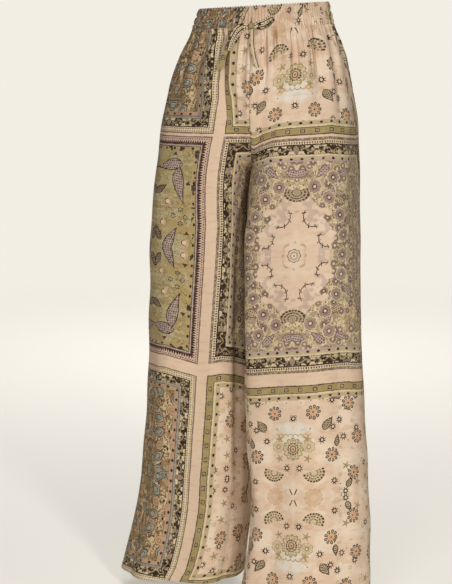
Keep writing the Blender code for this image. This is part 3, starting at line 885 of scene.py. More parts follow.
def fan_group():
    """Half a round flower: scales in rings 4.2 mm apart, two rings of dark dashes and one round its edge."""
    pitch, edge_r = 0.0042, 0.0165
    group, (x, y) = new_group("fan", X=0.0, Y=0.0)
    r, turn = (x * 0.85).length_with(y), turn_of(x, y)
    lower_half = y - x * 0.25 < 0.004
    ring = (r / pitch).math("FLOOR")
    across, down = (turn * 17.0 + ring * 0.5).rest() - 0.5, (r / pitch).rest() * 0.9 - 0.45
    outer = dashed(turn, 19.0, 0.30) & r.near(0.0148, 0.0015)
    inner = dashed(turn, 13.0, 0.35) & (r.near(0.0058, 0.0009) | r.near(0.0102, 0.0009))
    return close_group(
        group,
        Body=(r < edge_r) & lower_half,
        Scales=(across.length_with(down) > 0.40) & (r < edge_r) & lower_half,
        Dashes=(outer | inner) & lower_half,
    )


FLOWER, RING_FLOWER, ROSETTE = flower_group(), ring_flower_group(), rosette_group()
LEAF, FAN = leaf_group(), fan_group()


def dark_floral_group():
    """Loose cream flowers along a dark band, with a wavy stem, paler leaves and specks between them."""
    group, (length, depth) = new_group("dark floral band", Along=0.0, Across=0.0)
    sx, sy, first, second = scatter(length, depth, 0.0058, 0.95)
    speck = (sx * 1.4).length_with(sy) < (first * 0.0017 + 0.0009)
    stem = (length * (2 * np.pi / 0.0205)).math("SINE") * 0.0030
    x, y, size, kind = scatter(length, depth * 0.8 + 0.3, 0.0158, 0.62)
    flower = place_group(group, FLOWER, x, y / 0.8, size * 0.0030 + 0.0052, 6.0)
    chosen = kind > 0.24
    colour = paint(
        DARK,
        (TAUPE, noise(length, depth, 110.0) > 0.60),
        (MAUVE, noise(length + 0.7, depth, 62.0) > 0.62),
        (OLIVE_CREAM, speck & (second > 0.55)),
        (OLIVE, abs(depth - stem) < 0.0010),
        (paint(OLIVE_CREAM, (CREAM, kind > 0.62)), flower.petals & chosen),
        (CREAM, (flower.eye | flower.veins) & chosen),
        (PLUM, (flower.edge | flower.ring) & chosen),
    )
    return close_group(group, Colour=colour)


DARK_FLORAL = dark_floral_group()


def pale_ground_group():
    """Ground A: clouded blush cloth with loose ring flowers, stars and leaves, and small squares.

    Set places hold peach flowers, fans, lace flowers over scalloped edges, rosettes and big leaves. Side
    and height are distances from a panel's upright and level middle lines, so every motif on a ground
    shows two or four times, as in a mirror.
    """
    group, (side, height) = new_group("pale ground", Side=0.0, Height=0.0)
    chalky = ((side / 0.042).length_with((height - 0.105) / 0.030) * -1.0 + 1.25).rise(0.0, 0.5)
    square = abs(side.cell(0.0250)) | abs(height.cell(0.0235))
    some = (side > 0.070) & (noise(side, height, 37.0, 0.0) > 0.45)
    colour = paint(
        BLUSH,
        (PALE, noise(side, height, 24.0).rise(0.40, 0.62)),
        (CHALK, chalky * noise(side, height, 60.0).rise(0.35, 0.60)),
        (OLIVE_CREAM, square.between(0.0010, 0.0036) & some * 0.7),
    )

    x, y, kind, turn = scatter(side + 0.004, height + 0.006, 0.0245, 0.62)
    loose = place_group(group, RING_FLOWER, x, y)
    leaf = place_group(group, LEAF, x, y, turn * FULL_TURN, 0.0105, 0.0068, 14.0)
    open_field = side > 0.062
    leafy = kind.between(0.68, 0.80) & open_field
    speck = (x - 0.009).length_with(y + 0.007) < 0.0011
    colour = paint(
        colour,
        (PLUM, loose.ring_flower & (kind < 0.30) & open_field),
        (OLIVE, loose.star & kind.between(0.30, 0.52)),
        (PEACH, (leaf.body & kind.between(0.52, 0.68)) * 0.38),
        (OLIVE_CREAM, leaf.body & leafy),
        (PLUM, (leaf.veins | leaf.edge) & leafy),
        (PLUM, speck & (turn > 0.5)),
    )

    lace_height, scallop_height = 0.0860, 0.1080
    fan = place_group(group, FAN, side - 0.038, height - 0.043)
    peach = place_group(group, FLOWER, side - 0.037, height, 0.0165, 11.0)
    lace = place_group(group, FLOWER, side, height - lace_height, 0.0205, 12.0)
    r, turn = side.length_with(height - lace_height), turn_of(side, height - lace_height)
    mesh = side.cell(0.0046).length_with(height.cell(0.0046)) > 0.0019
    small = place_group(group, FLOWER, side - 0.0290, height - 0.0900, 0.0115, 7.0)
    scallop = side.cell(0.0095).length_with(height - scallop_height).near(0.0046, 0.0007)
    cross = (abs(side - height * 0.45) < 0.0011) & height.between(0.0045, 0.0150)
    colour = paint(
        colour,
        (CREAM, fan.body * 0.8),
        (GOLD, fan.scales * 0.8),
        (PLUM, fan.dashes),
        (PEACH, peach.petals * 0.45),
        (GOLD, (peach.edge | peach.veins) * 0.5),
        (CREAM, lace.petals * 0.85),
        (GOLD, lace.petals & mesh & (noise(side, height, 120.0) > 0.42)),
        (OLIVE, lace.edge),
        (PLUM, r.near(0.0098, 0.0013) & dashed(turn, 14.0, 0.30)),
        (PEACH, r < 0.0062),
        (PLUM, r.near(0.0055, 0.0008) | (r < 0.0014)),
        (CREAM, small.petals),
        (GOLD, small.edge | small.veins),
        (PLUM, small.ring),
        (GOLD, scallop & (side < 0.033) & (height > scallop_height)),
        (DARK, cross),
    )

    x, y = nearest(
        side, height,
        (0.036, 0.150), (0.071, 0.072), (0.104, 0.160), (0.115, 0.038), (0.124, 0.102), (0.168, 0.110),
    )
    rosette = place_group(group, ROSETTE, x, y)
    x, y = nearest(
        side, height,
        (0.0, 0.140), (0.086, 0.132), (0.070, 0.168), (0.052, 0.100),
        (0.075, 0.026), (0.098, 0.006), (0.012, 0.052),
    )
    set_flower = place_group(group, RING_FLOWER, x, y)
    big_leaf = place_group(group, LEAF, side - 0.062, height - 0.128, 1.05, 0.0135, 0.0094, 10.0)
    colour = paint(
        colour,
        (PEACH, rosette.heart),
        (PLUM, rosette.petals | rosette.eye),
        (OLIVE_CREAM, rosette.hollow),
        (DARK, set_flower.ring_flower),
        (OLIVE_CREAM, big_leaf.body),
        (PLUM, big_leaf.veins | big_leaf.edge),
    )
    return close_group(group, Colour=colour)


def stem_mask(side, height, middle_x, middle_y, radius):
    """A thin stem curled round a middle, with nine slanted buds in pairs along it; it is open at one side."""
    count, bud_width, bud_length = 9, 0.0010, 0.0018
    x, y = side - middle_x, height - middle_y
    r, turn = x.length_with(y), turn_of(x, y)
    round_stem = petal_place(turn, count) * (2 * np.pi * radius / count)
    aside = (round_stem - (r - radius) * 0.5) / bud_width
    bud = aside.length_with((abs(r - radius) - 0.0026) / bud_length)
    return (r.near(radius, 0.0008) | (bud < 1.0)) & (y < radius * 0.60) & (x < radius * 0.30)


def mauve_ground_group():
    """Ground B: a thick field of mauve flowers, leaves and dots round a plain blush oval.

    The oval holds faint lilac shadows, a wreath and one small flower. Thin stems, fans and more mauve
    flowers lie over its wavy edge.
    """
    group, (side, height) = new_group("mauve ground", Side=0.0, Height=0.0)
    x, y, first, second = scatter(side, height, 0.0066, 0.95)
    dot = (x * 1.8).length_with(y)
    field = paint(
        OLIVE_CREAM,
        (CREAM, noise(side, height, 75.0) > 0.48),
        (OLIVE, noise(side, height, 95.0).near(0.50, 0.030)),
        (MAUVE, (noise(side + 0.4, height, 52.0) > 0.57) * 0.7),
        (OLIVE, (dot < 0.0024) & (first > 0.60)),
        (PLUM, (dot < 0.0015) & (second < 0.38)),
    )
    x, y, kind, turn = scatter(side, height, 0.0205, 0.85)
    flower = place_group(group, FLOWER, x, y, kind * 0.0045 + 0.0062, 7.0)
    field = paint(
        field,
        (MAUVE, flower.petals),
        (DEEP_MAUVE, flower.petals & (kind > 0.45) & (x.length_with(y) < 0.0050)),
        (CREAM, flower.edge),
        (TAUPE, flower.veins),
        (CREAM, flower.eye | (flower.ring & (turn > 0.5))),
        (DARK, flower.ring & (turn < 0.5)),
    )
    x, y, kind, turn = scatter(side + 0.31, height, 0.0430, 0.7)
    leaf = place_group(group, LEAF, x, y, turn * FULL_TURN, 0.0170, 0.0088, kind * 14.0)
    leaf_colour = paint(OLIVE_CREAM, (LILAC, turn > 0.5))
    field = paint(field, (leaf_colour, leaf.body), (TAUPE, leaf.edge), (DARK, leaf.dots))

    far = (side / 0.070).length_with(height / 0.112)
    shadow = noise(side, height + 0.2, 60.0).rise(0.50, 0.60) & (far > 0.62)
    r = side.length_with(height * 0.90)
    wobble = (turn_of(side, height) * (12 * np.pi)).math("SINE") * 0.0018
    wreath = (r + wobble).near(0.0215, 0.0020)
    middle = place_group(group, FLOWER, side, height, 0.0125, 8.0)
    plain = paint(
        BLUSH,
        (PALE, noise(side, height, 16.0).rise(0.42, 0.62) * 0.6),
        (LILAC, shadow * 0.6),
        (OLIVE_CREAM, wreath * noise(side, height, 90.0).rise(0.35, 0.55)),
        (PALE, middle.petals),
        (PLUM, middle.edge | middle.veins | (r < 0.0015)),
    )
    wavy_edge = noise(side, height, 40.0) * 0.55 + 0.72

    fan = place_group(group, FAN, side * 0.8, height - 0.112)
    x, y = nearest(
        side, height,
        (0.032, 0.122), (0.058, 0.102), (0.079, 0.072), (0.090, 0.036), (0.092, 0.0), (0.066, 0.138),
    )
    set_flower = place_group(group, FLOWER, x, y, 0.0135, 8.0)
    colour = paint(
        plain,
        (field, far > wavy_edge),
        (DARK, stem_mask(side, height, 0.031, 0.070, 0.0190)),
        (DARK, stem_mask(side, height, 0.057, 0.030, 0.0155)),
        (MAUVE, fan.body),
        (OLIVE_CREAM, fan.scales),
        (PLUM, fan.dashes),
        (MAUVE, set_flower.petals),
        (TAUPE, set_flower.petals & (x.length_with(y) < 0.0082)),
        (LILAC, set_flower.veins),
        (CREAM, set_flower.edge | set_flower.eye),
        (DARK, set_flower.ring),
    )
    return close_group(group, Colour=colour)


def olive_ground_group():
    """Ground C: olive with faint pale flowers, and curled paisley leaves, dotted or striped in mauve.

    Between the leaves lie peach buttons, small flowers of six dark dots and dark darts.
    """
    group, (side, height) = new_group("olive ground", Side=0.0, Height=0.0)
    x, y, _, second = scatter(side, height, 0.0270, 0.72)
    faint = place_group(group, FLOWER, x, y, 0.0125, 6.0)
    colour = paint(
        OLIVE,
        (OLIVE_CREAM, noise(side, height, 130.0).rise(0.44, 0.70)),
        (GOLD, noise(side, height, 40.0).rise(0.50, 0.62)),
        (DEEP_OLIVE, noise(side, height, 105.0).near(0.46, 0.016)),
        (PALE_OLIVE, ((faint.edge | faint.veins | faint.ring) & (second > 0.30)) * 0.75),
    )

    x, y = nearest(side, height, (0.026, 0.087), (0.016, 0.047), (0.060, 0.012))
    r = x.length_with(y)
    button_edge = r.near(0.0050, 0.0009) & (x < 0.001)
    colour = paint(colour, (PEACH, (r < 0.0072) * 0.8), (CREAM, r < 0.0040), (PLUM, button_edge))
    x, y = nearest(side, height, (0.052, 0.073), (0.038, 0.061), (0.061, 0.059), (0.051, 0.047))
    r, turn = x.length_with(y), turn_of(x, y)
    dot = (petal_place(turn, 6.0) * 0.0038).length_with(r - 0.0037) < 0.0013
    x, y = nearest(side, height, (0.033, 0.176), (0.066, 0.122), (0.064, 0.030))
    dart = (abs(x) * 1.5 + y < 0.0044) & (y > -0.0032)
    colour = paint(colour, (DARK, dot | (r < 0.0009)), (PLUM, dart))

    for place_x, place_y, turn, length, width, bend, tint in (
        (0.031, 0.013, 1.57, 0.027, 0.0125, 13.0, LILAC),
        (0.047, 0.119, -1.70, 0.034, 0.0140, -9.0, LILAC),
        (0.026, 0.156, 2.95, 0.026, 0.0140, -12.0, LILAC),
        (0.010, 0.110, 0.70, 0.015, 0.0085, 9.0, MAUVE),
        (0.006, 0.026, 2.20, 0.016, 0.0085, 9.0, MAUVE),
    ):
        leaf = place_group(group, LEAF, side - place_x, height - place_y, turn, length, width, bend)
        colour = paint(
            colour,
            (tint, leaf.body),
            (MAUVE, leaf.body & (noise(side, height, 210.0) > 0.52)),
            (DARK, leaf.dots if tint is LILAC else leaf.veins),
            (DARK, leaf.edge),
        )
    return close_group(group, Colour=colour)


def brown_ground_group():
    """Ground D: ochre cloth thick with rust and olive sprigs and flowers, and grey-blue eye-shaped leaves."""
    group, (side, height) = new_group("brown ground", Side=0.0, Height=0.0)
    x, y, first, second = scatter(side, height, 0.0068, 1.0)
    sprig = (x * 2.0).length_with(y) < (second * 0.0018 + 0.0015)
    colour = paint(
        OCHRE,
        (SAND, noise(side, height, 36.0).rise(0.40, 0.60)),
        (MOSS, (noise(side + 0.6, height, 42.0) > 0.57) * 0.8),
        (BARK, noise(side, height, 78.0).near(0.50, 0.034)),
        (RUST, noise(side + 0.3, height, 96.0).near(0.52, 0.026)),
        (RUST, sprig & (first > 0.60)),
        (DARK, sprig & (first < 0.28)),
    )
    x, y, first, second = scatter(side, height + 0.2, 0.0235, 0.8)
    flower = place_group(group, FLOWER, x, y, second * 0.0045 + 0.0065, 7.0)
    chosen = first > 0.42
    x, y, turn, kind = scatter(side + 0.016, height + 0.01, 0.0370, 0.55)
    leaf = place_group(group, LEAF, x, y, turn * FULL_TURN, 0.0145, 0.0115, kind * 8.0)
    heart = place_group(group, LEAF, x, y, turn * FULL_TURN, 0.0090, 0.0070, kind * 8.0)
    colour = paint(
        colour,
        (APRICOT, flower.petals & chosen),
        (RUST, flower.veins & chosen),
        (PLUM, (flower.edge | flower.ring) & chosen),
        (GREY_GREEN, leaf.body),
        (SLATE, heart.body),
        (PALE_GREY, heart.veins & heart.body),
        (SOOT, leaf.edge | heart.edge),
    )
    return close_group(group, Colour=colour)


PALE_GROUND, MAUVE_GROUND = pale_ground_group(), mauve_ground_group()
OLIVE_GROUND, BROWN_GROUND = olive_ground_group(), brown_ground_group()


def panel_borders(group, x, y, depth, beside, ragged):
    """The border stripes of the four kinds of panel, A to D, from the edge inwards, with their small trim.

    A has boxes along its olive stripe, B and D a dark flowered band, C steps on pink, and B, C and D teeth.
    """
    a = stripes(
        depth, (0.0018, PLUM), (0.0112, OLIVE), (0.0012, PLUM), (0.0038, CREAM), (0.0008, GOLD),
        (0.0070, OLIVE_CREAM), (0.0008, GOLD), (0.02, BLUSH),
    )
    b = stripes(
        depth, (0.0050, TAUPE), (0.0060, CREAM), (0.0020, DARK), (0.0165, PLUM), (0.0030, CREAM),
        (0.0050, OLIVE_CREAM), (0.0050, LILAC), (0.02, BLUSH),
    )
    c = stripes(
        depth, (0.0025, TAUPE), (0.0046, PINK), (0.0060, DARK), (0.0028, PLUM), (0.0026, LILAC),
        (0.0014, DARK), (0.0085, GOLD), (0.03, OLIVE),
    )
    d = stripes(
        depth, (0.0024, TAUPE), (0.0090, CREAM), (0.0018, DARK), (0.0145, PLUM), (0.0036, GREY_BLUE),
        (0.0010, DARK), (0.0076, COPPER), (0.02, CREAM),
    )

    box = abs(beside.cell(0.0265) * 0.80) | abs(depth - 0.0076)
    tooth = abs(beside.cell(0.0046))
    cloudy = noise(x, y, 48.0) > 0.60
    floral = place_group(group, DARK_FLORAL, beside, depth - 0.0212)
    a = paint(a, (PLUM, box < 0.0033), (OLIVE_CREAM, box < 0.0019), (DARK, box < 0.0008))
    b = paint(
        b,
        (PLUM, (tooth < 0.0012) & depth.near(0.0083, 0.0017)),
        (CREAM, ragged.rise(0.50, 0.58) & (depth < 0.0048) * 0.45),
        (floral, depth.between(0.0135, 0.0290)),
    )
    c = paint(
        c,
        (PLUM, (tooth < 0.0012) & depth.near(0.0050, 0.0011)),
        (PINK, (tooth < (depth * -0.36 + 0.0046)) & (depth > 0.0071)),
        (PLUM, cloudy & depth.between(0.0195, 0.0275)),
    )
    d = paint(
        d,
        (PLUM, (tooth < 0.0010) & abs(depth - 0.0069).near(0.0024, 0.0010)),
        (floral, depth.between(0.0135, 0.0272)),
    )
    return a, b, c, d


def scarf_print_group():
    """The whole print from flat cloth x and y: which framed panel, how deep inside its edge, what lies there.

    Every line is first shifted by a noise of at most 0.9 mm, as a hand-drawn one wanders. A column of
    panels 0.44 m wide and one 0.20 m wide repeat across, parted by plain bands of 20 mm, with three rows
    of panels down them. The wide column holds A, B and A, and the narrow one D, C and D. Depth is the
    distance in from the nearest edge of the panel, and beside runs along that edge.
    """
    repeat, wide_and_band, narrow_middle = 0.68, 0.46, 0.57
    wide_half, narrow_half = 0.22, 0.10
    upper_end, middle_end = -0.2085, -0.6390
    wander, size = 230.0, 0.0018

    group, (flat_x, flat_y) = new_group("scarf print", X=0.0, Y=0.0)
    x = flat_x + noise(flat_x, flat_y, wander) * size - size / 2
    y = flat_y + noise(flat_x + 3.0, flat_y, wander) * size - size / 2
    across = x % repeat
    wide = across < wide_and_band
    below_upper, below_middle = y < upper_end, y < middle_end
    middle = below_upper - below_middle

    def by_column(in_wide, in_narrow):
        return wide * (in_wide - in_narrow) + in_narrow

    def by_row(in_upper, in_middle, in_lower):
        return below_upper * (in_middle - in_upper) + below_middle * (in_lower - in_middle) + in_upper

    def by_frame(a, b, c, d):
        return by_column(a, d) + middle * (wide * (b - a - c + d) + (c - d))

    def coloured_by_frame(a, b, c, d):
        return paint(paint(d, (c, middle)), (paint(a, (b, middle)), wide))

    side = abs(across - by_column(WIDE_MIDDLE, narrow_middle))
    from_side = by_column(wide_half, narrow_half) - side
    height = abs(y - by_row(-0.0130, -0.4195, -0.8480))
    from_end = by_row(0.1935, 0.2085, 0.1980) - height
    beside = side + (height - side) * (from_side < from_end)
    ragged = noise(x, y, 260.0)
    depth = from_side.under(from_end) + (ragged - 0.5) * 0.0010

    a, b, c, d = panel_borders(group, x, y, depth, beside, ragged)
    bead_depth = by_frame(0.0215, 0.0370, 0.0230, 0.0355)
    bead = (beside.cell(0.0190) * 0.75).length_with(depth - bead_depth) < 0.0022
    border = paint(coloured_by_frame(a, b, c, d), (DARK, bead))
    border_width = by_frame(0.0255, 0.0418, 0.0279, 0.0398)

    in_order = (PALE_GROUND, MAUVE_GROUND, OLIVE_GROUND, BROWN_GROUND)
    ground = coloured_by_frame(*(place_group(group, ground, side, height) for ground in in_order))
    worn = noise(x * 0.35, y, 130.0, 3.0)
    colour = paint(
        ground,
        (border, depth < border_width),
        (BLUSH, depth < 0.0),
        (PALE, worn.rise(0.48, 0.70) * 0.12),
        (TAUPE, (worn * -1.0 + 1.0).rise(0.52, 0.75) * 0.14),
    )
    return close_group(group, Colour=colour)


def hand_of_cloth_group():
    """Height of the cloth's face: fine crossing threads, slubs and a dry crinkle drawn out along the leg."""
    thread = 2 * np.pi / 0.0007
    group, (x, y) = new_group("viscose face", X=0.0, Y=0.0)
    threads = (x * thread).math("SINE") * (y * thread).math("SINE")
    slubs = noise(x, y * 0.25, 420.0)
    crinkle = noise(x, y * 0.35, 75.0, 4.0)
    return close_group(group, Height=threads * 0.00003 + slubs * 0.00012 + crinkle * 0.00090, Crinkle=crinkle)


SCARF_PRINT, CLOTH_FACE = scarf_print_group(), hand_of_cloth_group()


def printed_cloth(name, reverse=False):
    """Matt viscose with the print on its face; its reverse is the same print, shown weakly through."""
    material = bpy.data.materials.new(name)
    material.use_nodes = True
    tree = material.node_tree
    shader = tree.nodes["Principled BSDF"]
    uv = tree.nodes.new("ShaderNodeUVMap")
    uv.uv_map = "print"
    x, y, _ = parts_of(Amount(uv.outputs[0]))
    colour = place_group(tree, SCARF_PRINT, x, y)
    face = place_group(tree, CLOTH_FACE, x, y)
    if reverse:
        colour = paint(colour, (ink(0.62, 0.49, 0.37), face.crinkle * 0.3 + 0.35))
    bump = tree.nodes.new("ShaderNodeBump")
    bump.inputs["Distance"].default_value = 1.0
    bump.inputs["Strength"].default_value = 0.8
    feed(bump.inputs["Height"], face.height)
    feed(shader.inputs["Base Color"], colour)
    feed(shader.inputs["Roughness"], face.crinkle * 0.22 + 0.62)
    feed(shader.inputs["Normal"], Amount(bump.outputs[0]))
    shader.inputs["Sheen Weight"].default_value = 0.03
    shader.inputs["Sheen Roughness"].default_value = 0.45
    shader.inputs["Specular IOR Level"].default_value = 0.08
    return material


cloth_face = printed_cloth("printed viscose")
cloth_reverse = printed_cloth("printed viscose reverse", reverse=True)


def dress_in_print(piece):
    """The print goes on the outer face of a sheet and its reverse on the inner one."""
    piece.data.materials.append(cloth_face)
    piece.data.materials.append(cloth_reverse)
    piece.modifiers["thickness"].material_offset = 1


for panel, leg, half in leg_panels:
    dress_in_print(panel)
    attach(panel, "root")
    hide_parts(f"{half}_{leg}")


# ---------------------------------------------------------------- waistband
# A folded casing of the same cloth over wide elastic. Two rows of stitching part it into channels,
# the elastic gathers it all round, and a narrow roll of cloth stands between it and the legs.
GATHERS = 132
POINTS_A_GATHER = 8
GATHER_DEPTH = 0.0025
CHANNEL_PUFF = 0.0021
STITCH_LINES = np.array([BAND_TOP, 0.0068, -0.0072, WAIST_SEAM])
CHANNEL_ROWS = (14, 14, 9)  # rows of points down each channel
CASING_CLOTH = 0.0012


def round_each_leg(s):
    """A place round the band as a place round the left leg and round the right one, and which it is over."""
    left_s = np.where(s < 0.5, 2 * s, 2 * s - 1)
    right_s = np.where(s < 0.5, 1 - 2 * s, 2 - 2 * s)
    return left_s, right_s, (s < 0.25) | (s >= 0.75)


def band_surface(s, z):
    """A ring of two half ovals, with gathers and puffed channels added along its level normal.

    The gathers are a wave of 132 round the waist whose phase and size wander, pinched at each row of
    stitching; a channel's puff is the square root of a half sine between two rows. The lowest channel
    is a narrow roll that passes over into the folds of the legs, sooner on the wearer's left. The
    gathers scallop the top edge.
    """
    angle = 2 * np.pi * s
    depth = np.where(s < 0.5, along(TORSO, "front", z), along(TORSO, "back", z))
    width = np.where(np.cos(angle) > 0, along(TORSO, "left_x", z), -along(TORSO, "right_x", z))
    x, y = width * np.cos(angle), -depth * np.sin(angle)
    nx, ny = np.cos(angle) / width, -np.sin(angle) / depth
    size = np.hypot(nx, ny)
    channel = np.clip(np.searchsorted(-STITCH_LINES, -z, side="right") - 1, 0, 2)
    down = (STITCH_LINES[channel] - z) / (STITCH_LINES[channel] - STITCH_LINES[channel + 1])
    puff = np.sqrt(np.clip(np.sin(np.pi * down), 0, 1))
    wander = 0.35 * np.sin(2 * np.pi * (7 * s) + 1.7 * channel) + 0.25 * np.sin(2 * np.pi * 17 * s + channel)
    uneven = 0.75 + 0.25 * np.sin(2 * np.pi * (11 * s + 0.2) + channel)
    phase = 2 * np.pi * GATHERS * s + wander
    wave = GATHER_DEPTH * uneven * (np.cos(phase) - 0.3 * np.cos(2 * phase)) * (0.55 + 0.45 * puff)
    out = wave + CHANNEL_PUFF * puff - 0.0004
    left_s, right_s, over_left = round_each_leg(s)
    left_folds = waist_folds("left", left_s, z) + pleats("left", left_s, z)
    right_folds = waist_folds("right", right_s, z) + pleats("right", right_s, z)
    to_leg = (channel == 2) * (0.35 + 0.50 * smooth(-0.03, 0.03, x)) * smooth(0.0, 0.9, down)
    out = out * (1 - to_leg) + to_leg * np.where(over_left, left_folds, right_folds)
    x, y = x + nx / size * out, y + ny / size * out
    scallop = 0.0011 * np.cos(phase) * smooth(0.0180, 0.0205, z)
    return np.stack([x, y, z + hip_tilt(x, z) + scallop], axis=-1)


def band_print(s, z):
    """The waistband carries on the print of the leg below it, drawn together by the gathers.

    Its cloth is 1.45 times as wide as the print place, measured from a middle at the front or the back.
    """
    taken_up, front_middle, back_middle = 0.45, 0.045, WIDE_MIDDLE
    left_s, right_s, over_left = round_each_leg(s)
    left = print_place("left", np.clip(left_s, 0, 1), z)
    right = print_place("right", np.clip(right_s, 0, 1), z)
    x, y = np.where(over_left, left, right)
    return np.stack([x + taken_up * (x - np.where(s < 0.5, front_middle, back_middle)), y], axis=-1)


channel_rows = [np.linspace(*ends) for ends in zip(STITCH_LINES[:-1], STITCH_LINES[1:], CHANNEL_ROWS)]
band_heights = np.concatenate([channel_rows[0][:-1], channel_rows[1][:-1], channel_rows[2]])
band_places = np.arange(GATHERS * POINTS_A_GATHER) / (GATHERS * POINTS_A_GATHER)
s, z = np.meshgrid(band_places, band_heights)
band = add_piece("waistband_casing", band_surface(s, z), band_print(s, z), flip=False, ring=True)
give_thickness(band, CASING_CLOTH)
dress_in_print(band)
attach(band, "root")
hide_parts("waistband")


# ---------------------------------------------------------------- drawstring
# A flat strip of the printed cloth, 8.5 mm wide, sewn shut along its edges. It comes out of the
# waistband's middle and is tied in a small bow: a knot, two loops and two free ends.
RIBBON_WIDTH = 0.0085
RIBBON_THICKNESS = 0.0012
ROUND_SECTION = 20  # points round the strip
KNOT_SIZE = (0.0110, 0.0075, 0.0100)
KNOT_Z = -0.0145
KNOT_SIDE = KNOT_SIZE[0] / 2 + SEAM_GAP
KNOT_FOOT = KNOT_Z - KNOT_SIZE[2] / 2 - 2 * SEAM_GAP
LAYER = 0.0022  # how far one layer of the bow stands in front of the next
BAND_SWELL = 0.0023  # how far the band stands out from its plain oval
RIBBON_PRINT_Y = -0.030  # where on the print the strip is cut
FORWARDS = np.array([0.0, -1.0, 0.0])


def front_point(x, z, clear):
    """A point that far in front of the waistband or of the panels' highest folds, near the middle."""
    width = np.where(x > 0, along(TORSO, "left_x", z), -along(TORSO, "right_x", z))
    y = -along(TORSO, "front", z) * np.sqrt(1 - (x / width) ** 2)
    below = smooth(0.0, 0.030, BAND_BOTTOM - z)
    swell = BAND_SWELL * (1 - below) + FOLD_DEPTH * below
    return np.stack([x, y - swell - clear, z + hip_tilt(x, z)], axis=-1)


def curve_between(start, bend, end, t):
    """A quadratic curve: (1 - t)^2 start + 2t(1 - t) bend + t^2 end."""
    return (1 - t) ** 2 * start + 2 * t * (1 - t) * bend + t * t * end


def close_ends(mesh):
    """The doubled points at a shape's two ends become one each, and every face is turned outwards."""
    edit = bmesh.new()
    edit.from_mesh(mesh)
    bmesh.ops.remove_doubles(edit, verts=edit.verts, dist=1e-6)
    bmesh.ops.recalc_face_normals(edit, faces=edit.faces)
    edit.to_mesh(mesh)
    edit.free()


def ribbon(name, middle, outward, print_x, slant=0.0):
    """A flat strip carried along a line of points; across it, its section is a flat oval.

    The oval is u = cos(a) wide and sin(a) thick, with thicker rims at the two sewn edges. Small
    wrinkles run along it, and the cut end runs further on one edge by slant.
    """
    ahead = np.gradient(middle, axis=0)
    ahead /= np.linalg.norm(ahead, axis=1)[:, None]
    across = np.cross(ahead, outward)
    across /= np.linalg.norm(across, axis=1)[:, None]
    face = np.cross(across, ahead)
    turn = np.linspace(0, 2 * np.pi, ROUND_SECTION, endpoint=False)
    u = np.cos(turn)
    rim = np.exp(-(((np.abs(u) - 0.86) / 0.10) ** 2))
    thick = np.sin(turn) * (0.85 + 0.25 * rim) * RIBBON_THICKNESS / 2
    run = np.concatenate([[0], np.cumsum(np.linalg.norm(np.diff(middle, axis=0), axis=1))])
    end = np.exp(-((run[-1] - run) / 0.004))
    wrinkle = 0.00025 * np.sin(run / 0.0016)[:, None] * np.cos(3 * turn)[None, :]
    rings = (
        middle[:, None]
        + across[:, None] * (u * RIBBON_WIDTH / 2)[None, :, None]
        + face[:, None] * thick[None, :, None]
        - ahead[:, None] * (end[:, None] * u[None, :] * slant / 2)[..., None]
        + face[:, None] * wrinkle[..., None]
    )
    caps = [np.tile(ring.mean(axis=0), (1, ROUND_SECTION, 1)) for ring in (rings[0], rings[-1])]
    rings = np.concatenate([caps[0], rings, caps[1]])
    run = np.concatenate([[run[0]], run, [run[-1]]])
    print_across, print_down = print_x + 0.5 * RIBBON_WIDTH * u[None, :], RIBBON_PRINT_Y - run[:, None]
    print_xy = np.stack(np.broadcast_arrays(print_across, print_down), axis=-1)
    piece = add_piece(name, rings, print_xy, flip=False, ring=True)
    close_ends(piece.data)
    return piece


Loop = namedtuple("Loop", "name end_x end_z bulge print_x")
LOOPS = (
    Loop("bow_loop_left", -0.040, -0.056, 0.0045, 0.4820),
    Loop("bow_loop_right", 0.037, -0.002, 0.0045, 0.4825),
)
Tail = namedtuple("Tail", "name start_x start_z bend_x bend_z end_x end_z slant print_x")
TAILS = (
    Tail("bow_tail_left", -KNOT_SIDE, KNOT_Z, -0.036, KNOT_Z, -0.054, -0.090, -0.007, 0.0176),
    Tail("bow_tail_right", 0.0010, KNOT_FOOT, 0.001, -0.050, 0.014, -0.086, 0.007, 0.0268),
)


def loop_line(loop, count):
    """A loop's middle line and the way its face looks: out in front, round its end and back behind itself."""
    turn = np.linspace(0.075, 0.925, count)
    start = np.cos(2 * np.pi * turn[0])
    reach = (start - np.cos(2 * np.pi * turn)) / (start + 1)
    x = curve_between(np.sign(loop.end_x) * KNOT_SIDE, 0.7 * loop.end_x, loop.end_x, reach)
    spread = 0.0040 * sine(turn) * smooth(0.0, 0.25, reach)
    z = curve_between(KNOT_Z, KNOT_Z, loop.end_z, reach) + spread
    middle_clear = 2.25 * LAYER + 0.65 * loop.bulge * np.sin(np.pi * np.clip(reach, 0, 1))
    middle = front_point(x, z, middle_clear + loop.bulge * sine(turn))
    across = np.cross(np.array([np.gradient(x), 0 * x, np.gradient(z)]).T, FORWARDS)
    across *= np.sign(across @ across[0])[:, None]
    across[reach > 0.97] = across[np.argmin(np.abs(reach - 0.97))]
    face = np.cross(across, np.gradient(middle, axis=0))
    return middle, face * np.sign(face[0] @ FORWARDS)


def tail_line(tail, count):
    """A free end's middle line: a quadratic curve, a little in front of the folds it hangs on."""
    t = np.linspace(0, 1, count)
    x = curve_between(tail.start_x, tail.bend_x, tail.end_x, t)
    z = curve_between(tail.start_z, tail.bend_z, tail.end_z, t)
    return front_point(x, z, LAYER * (0.6 + 0.2 * t)), np.tile(FORWARDS, (count, 1))


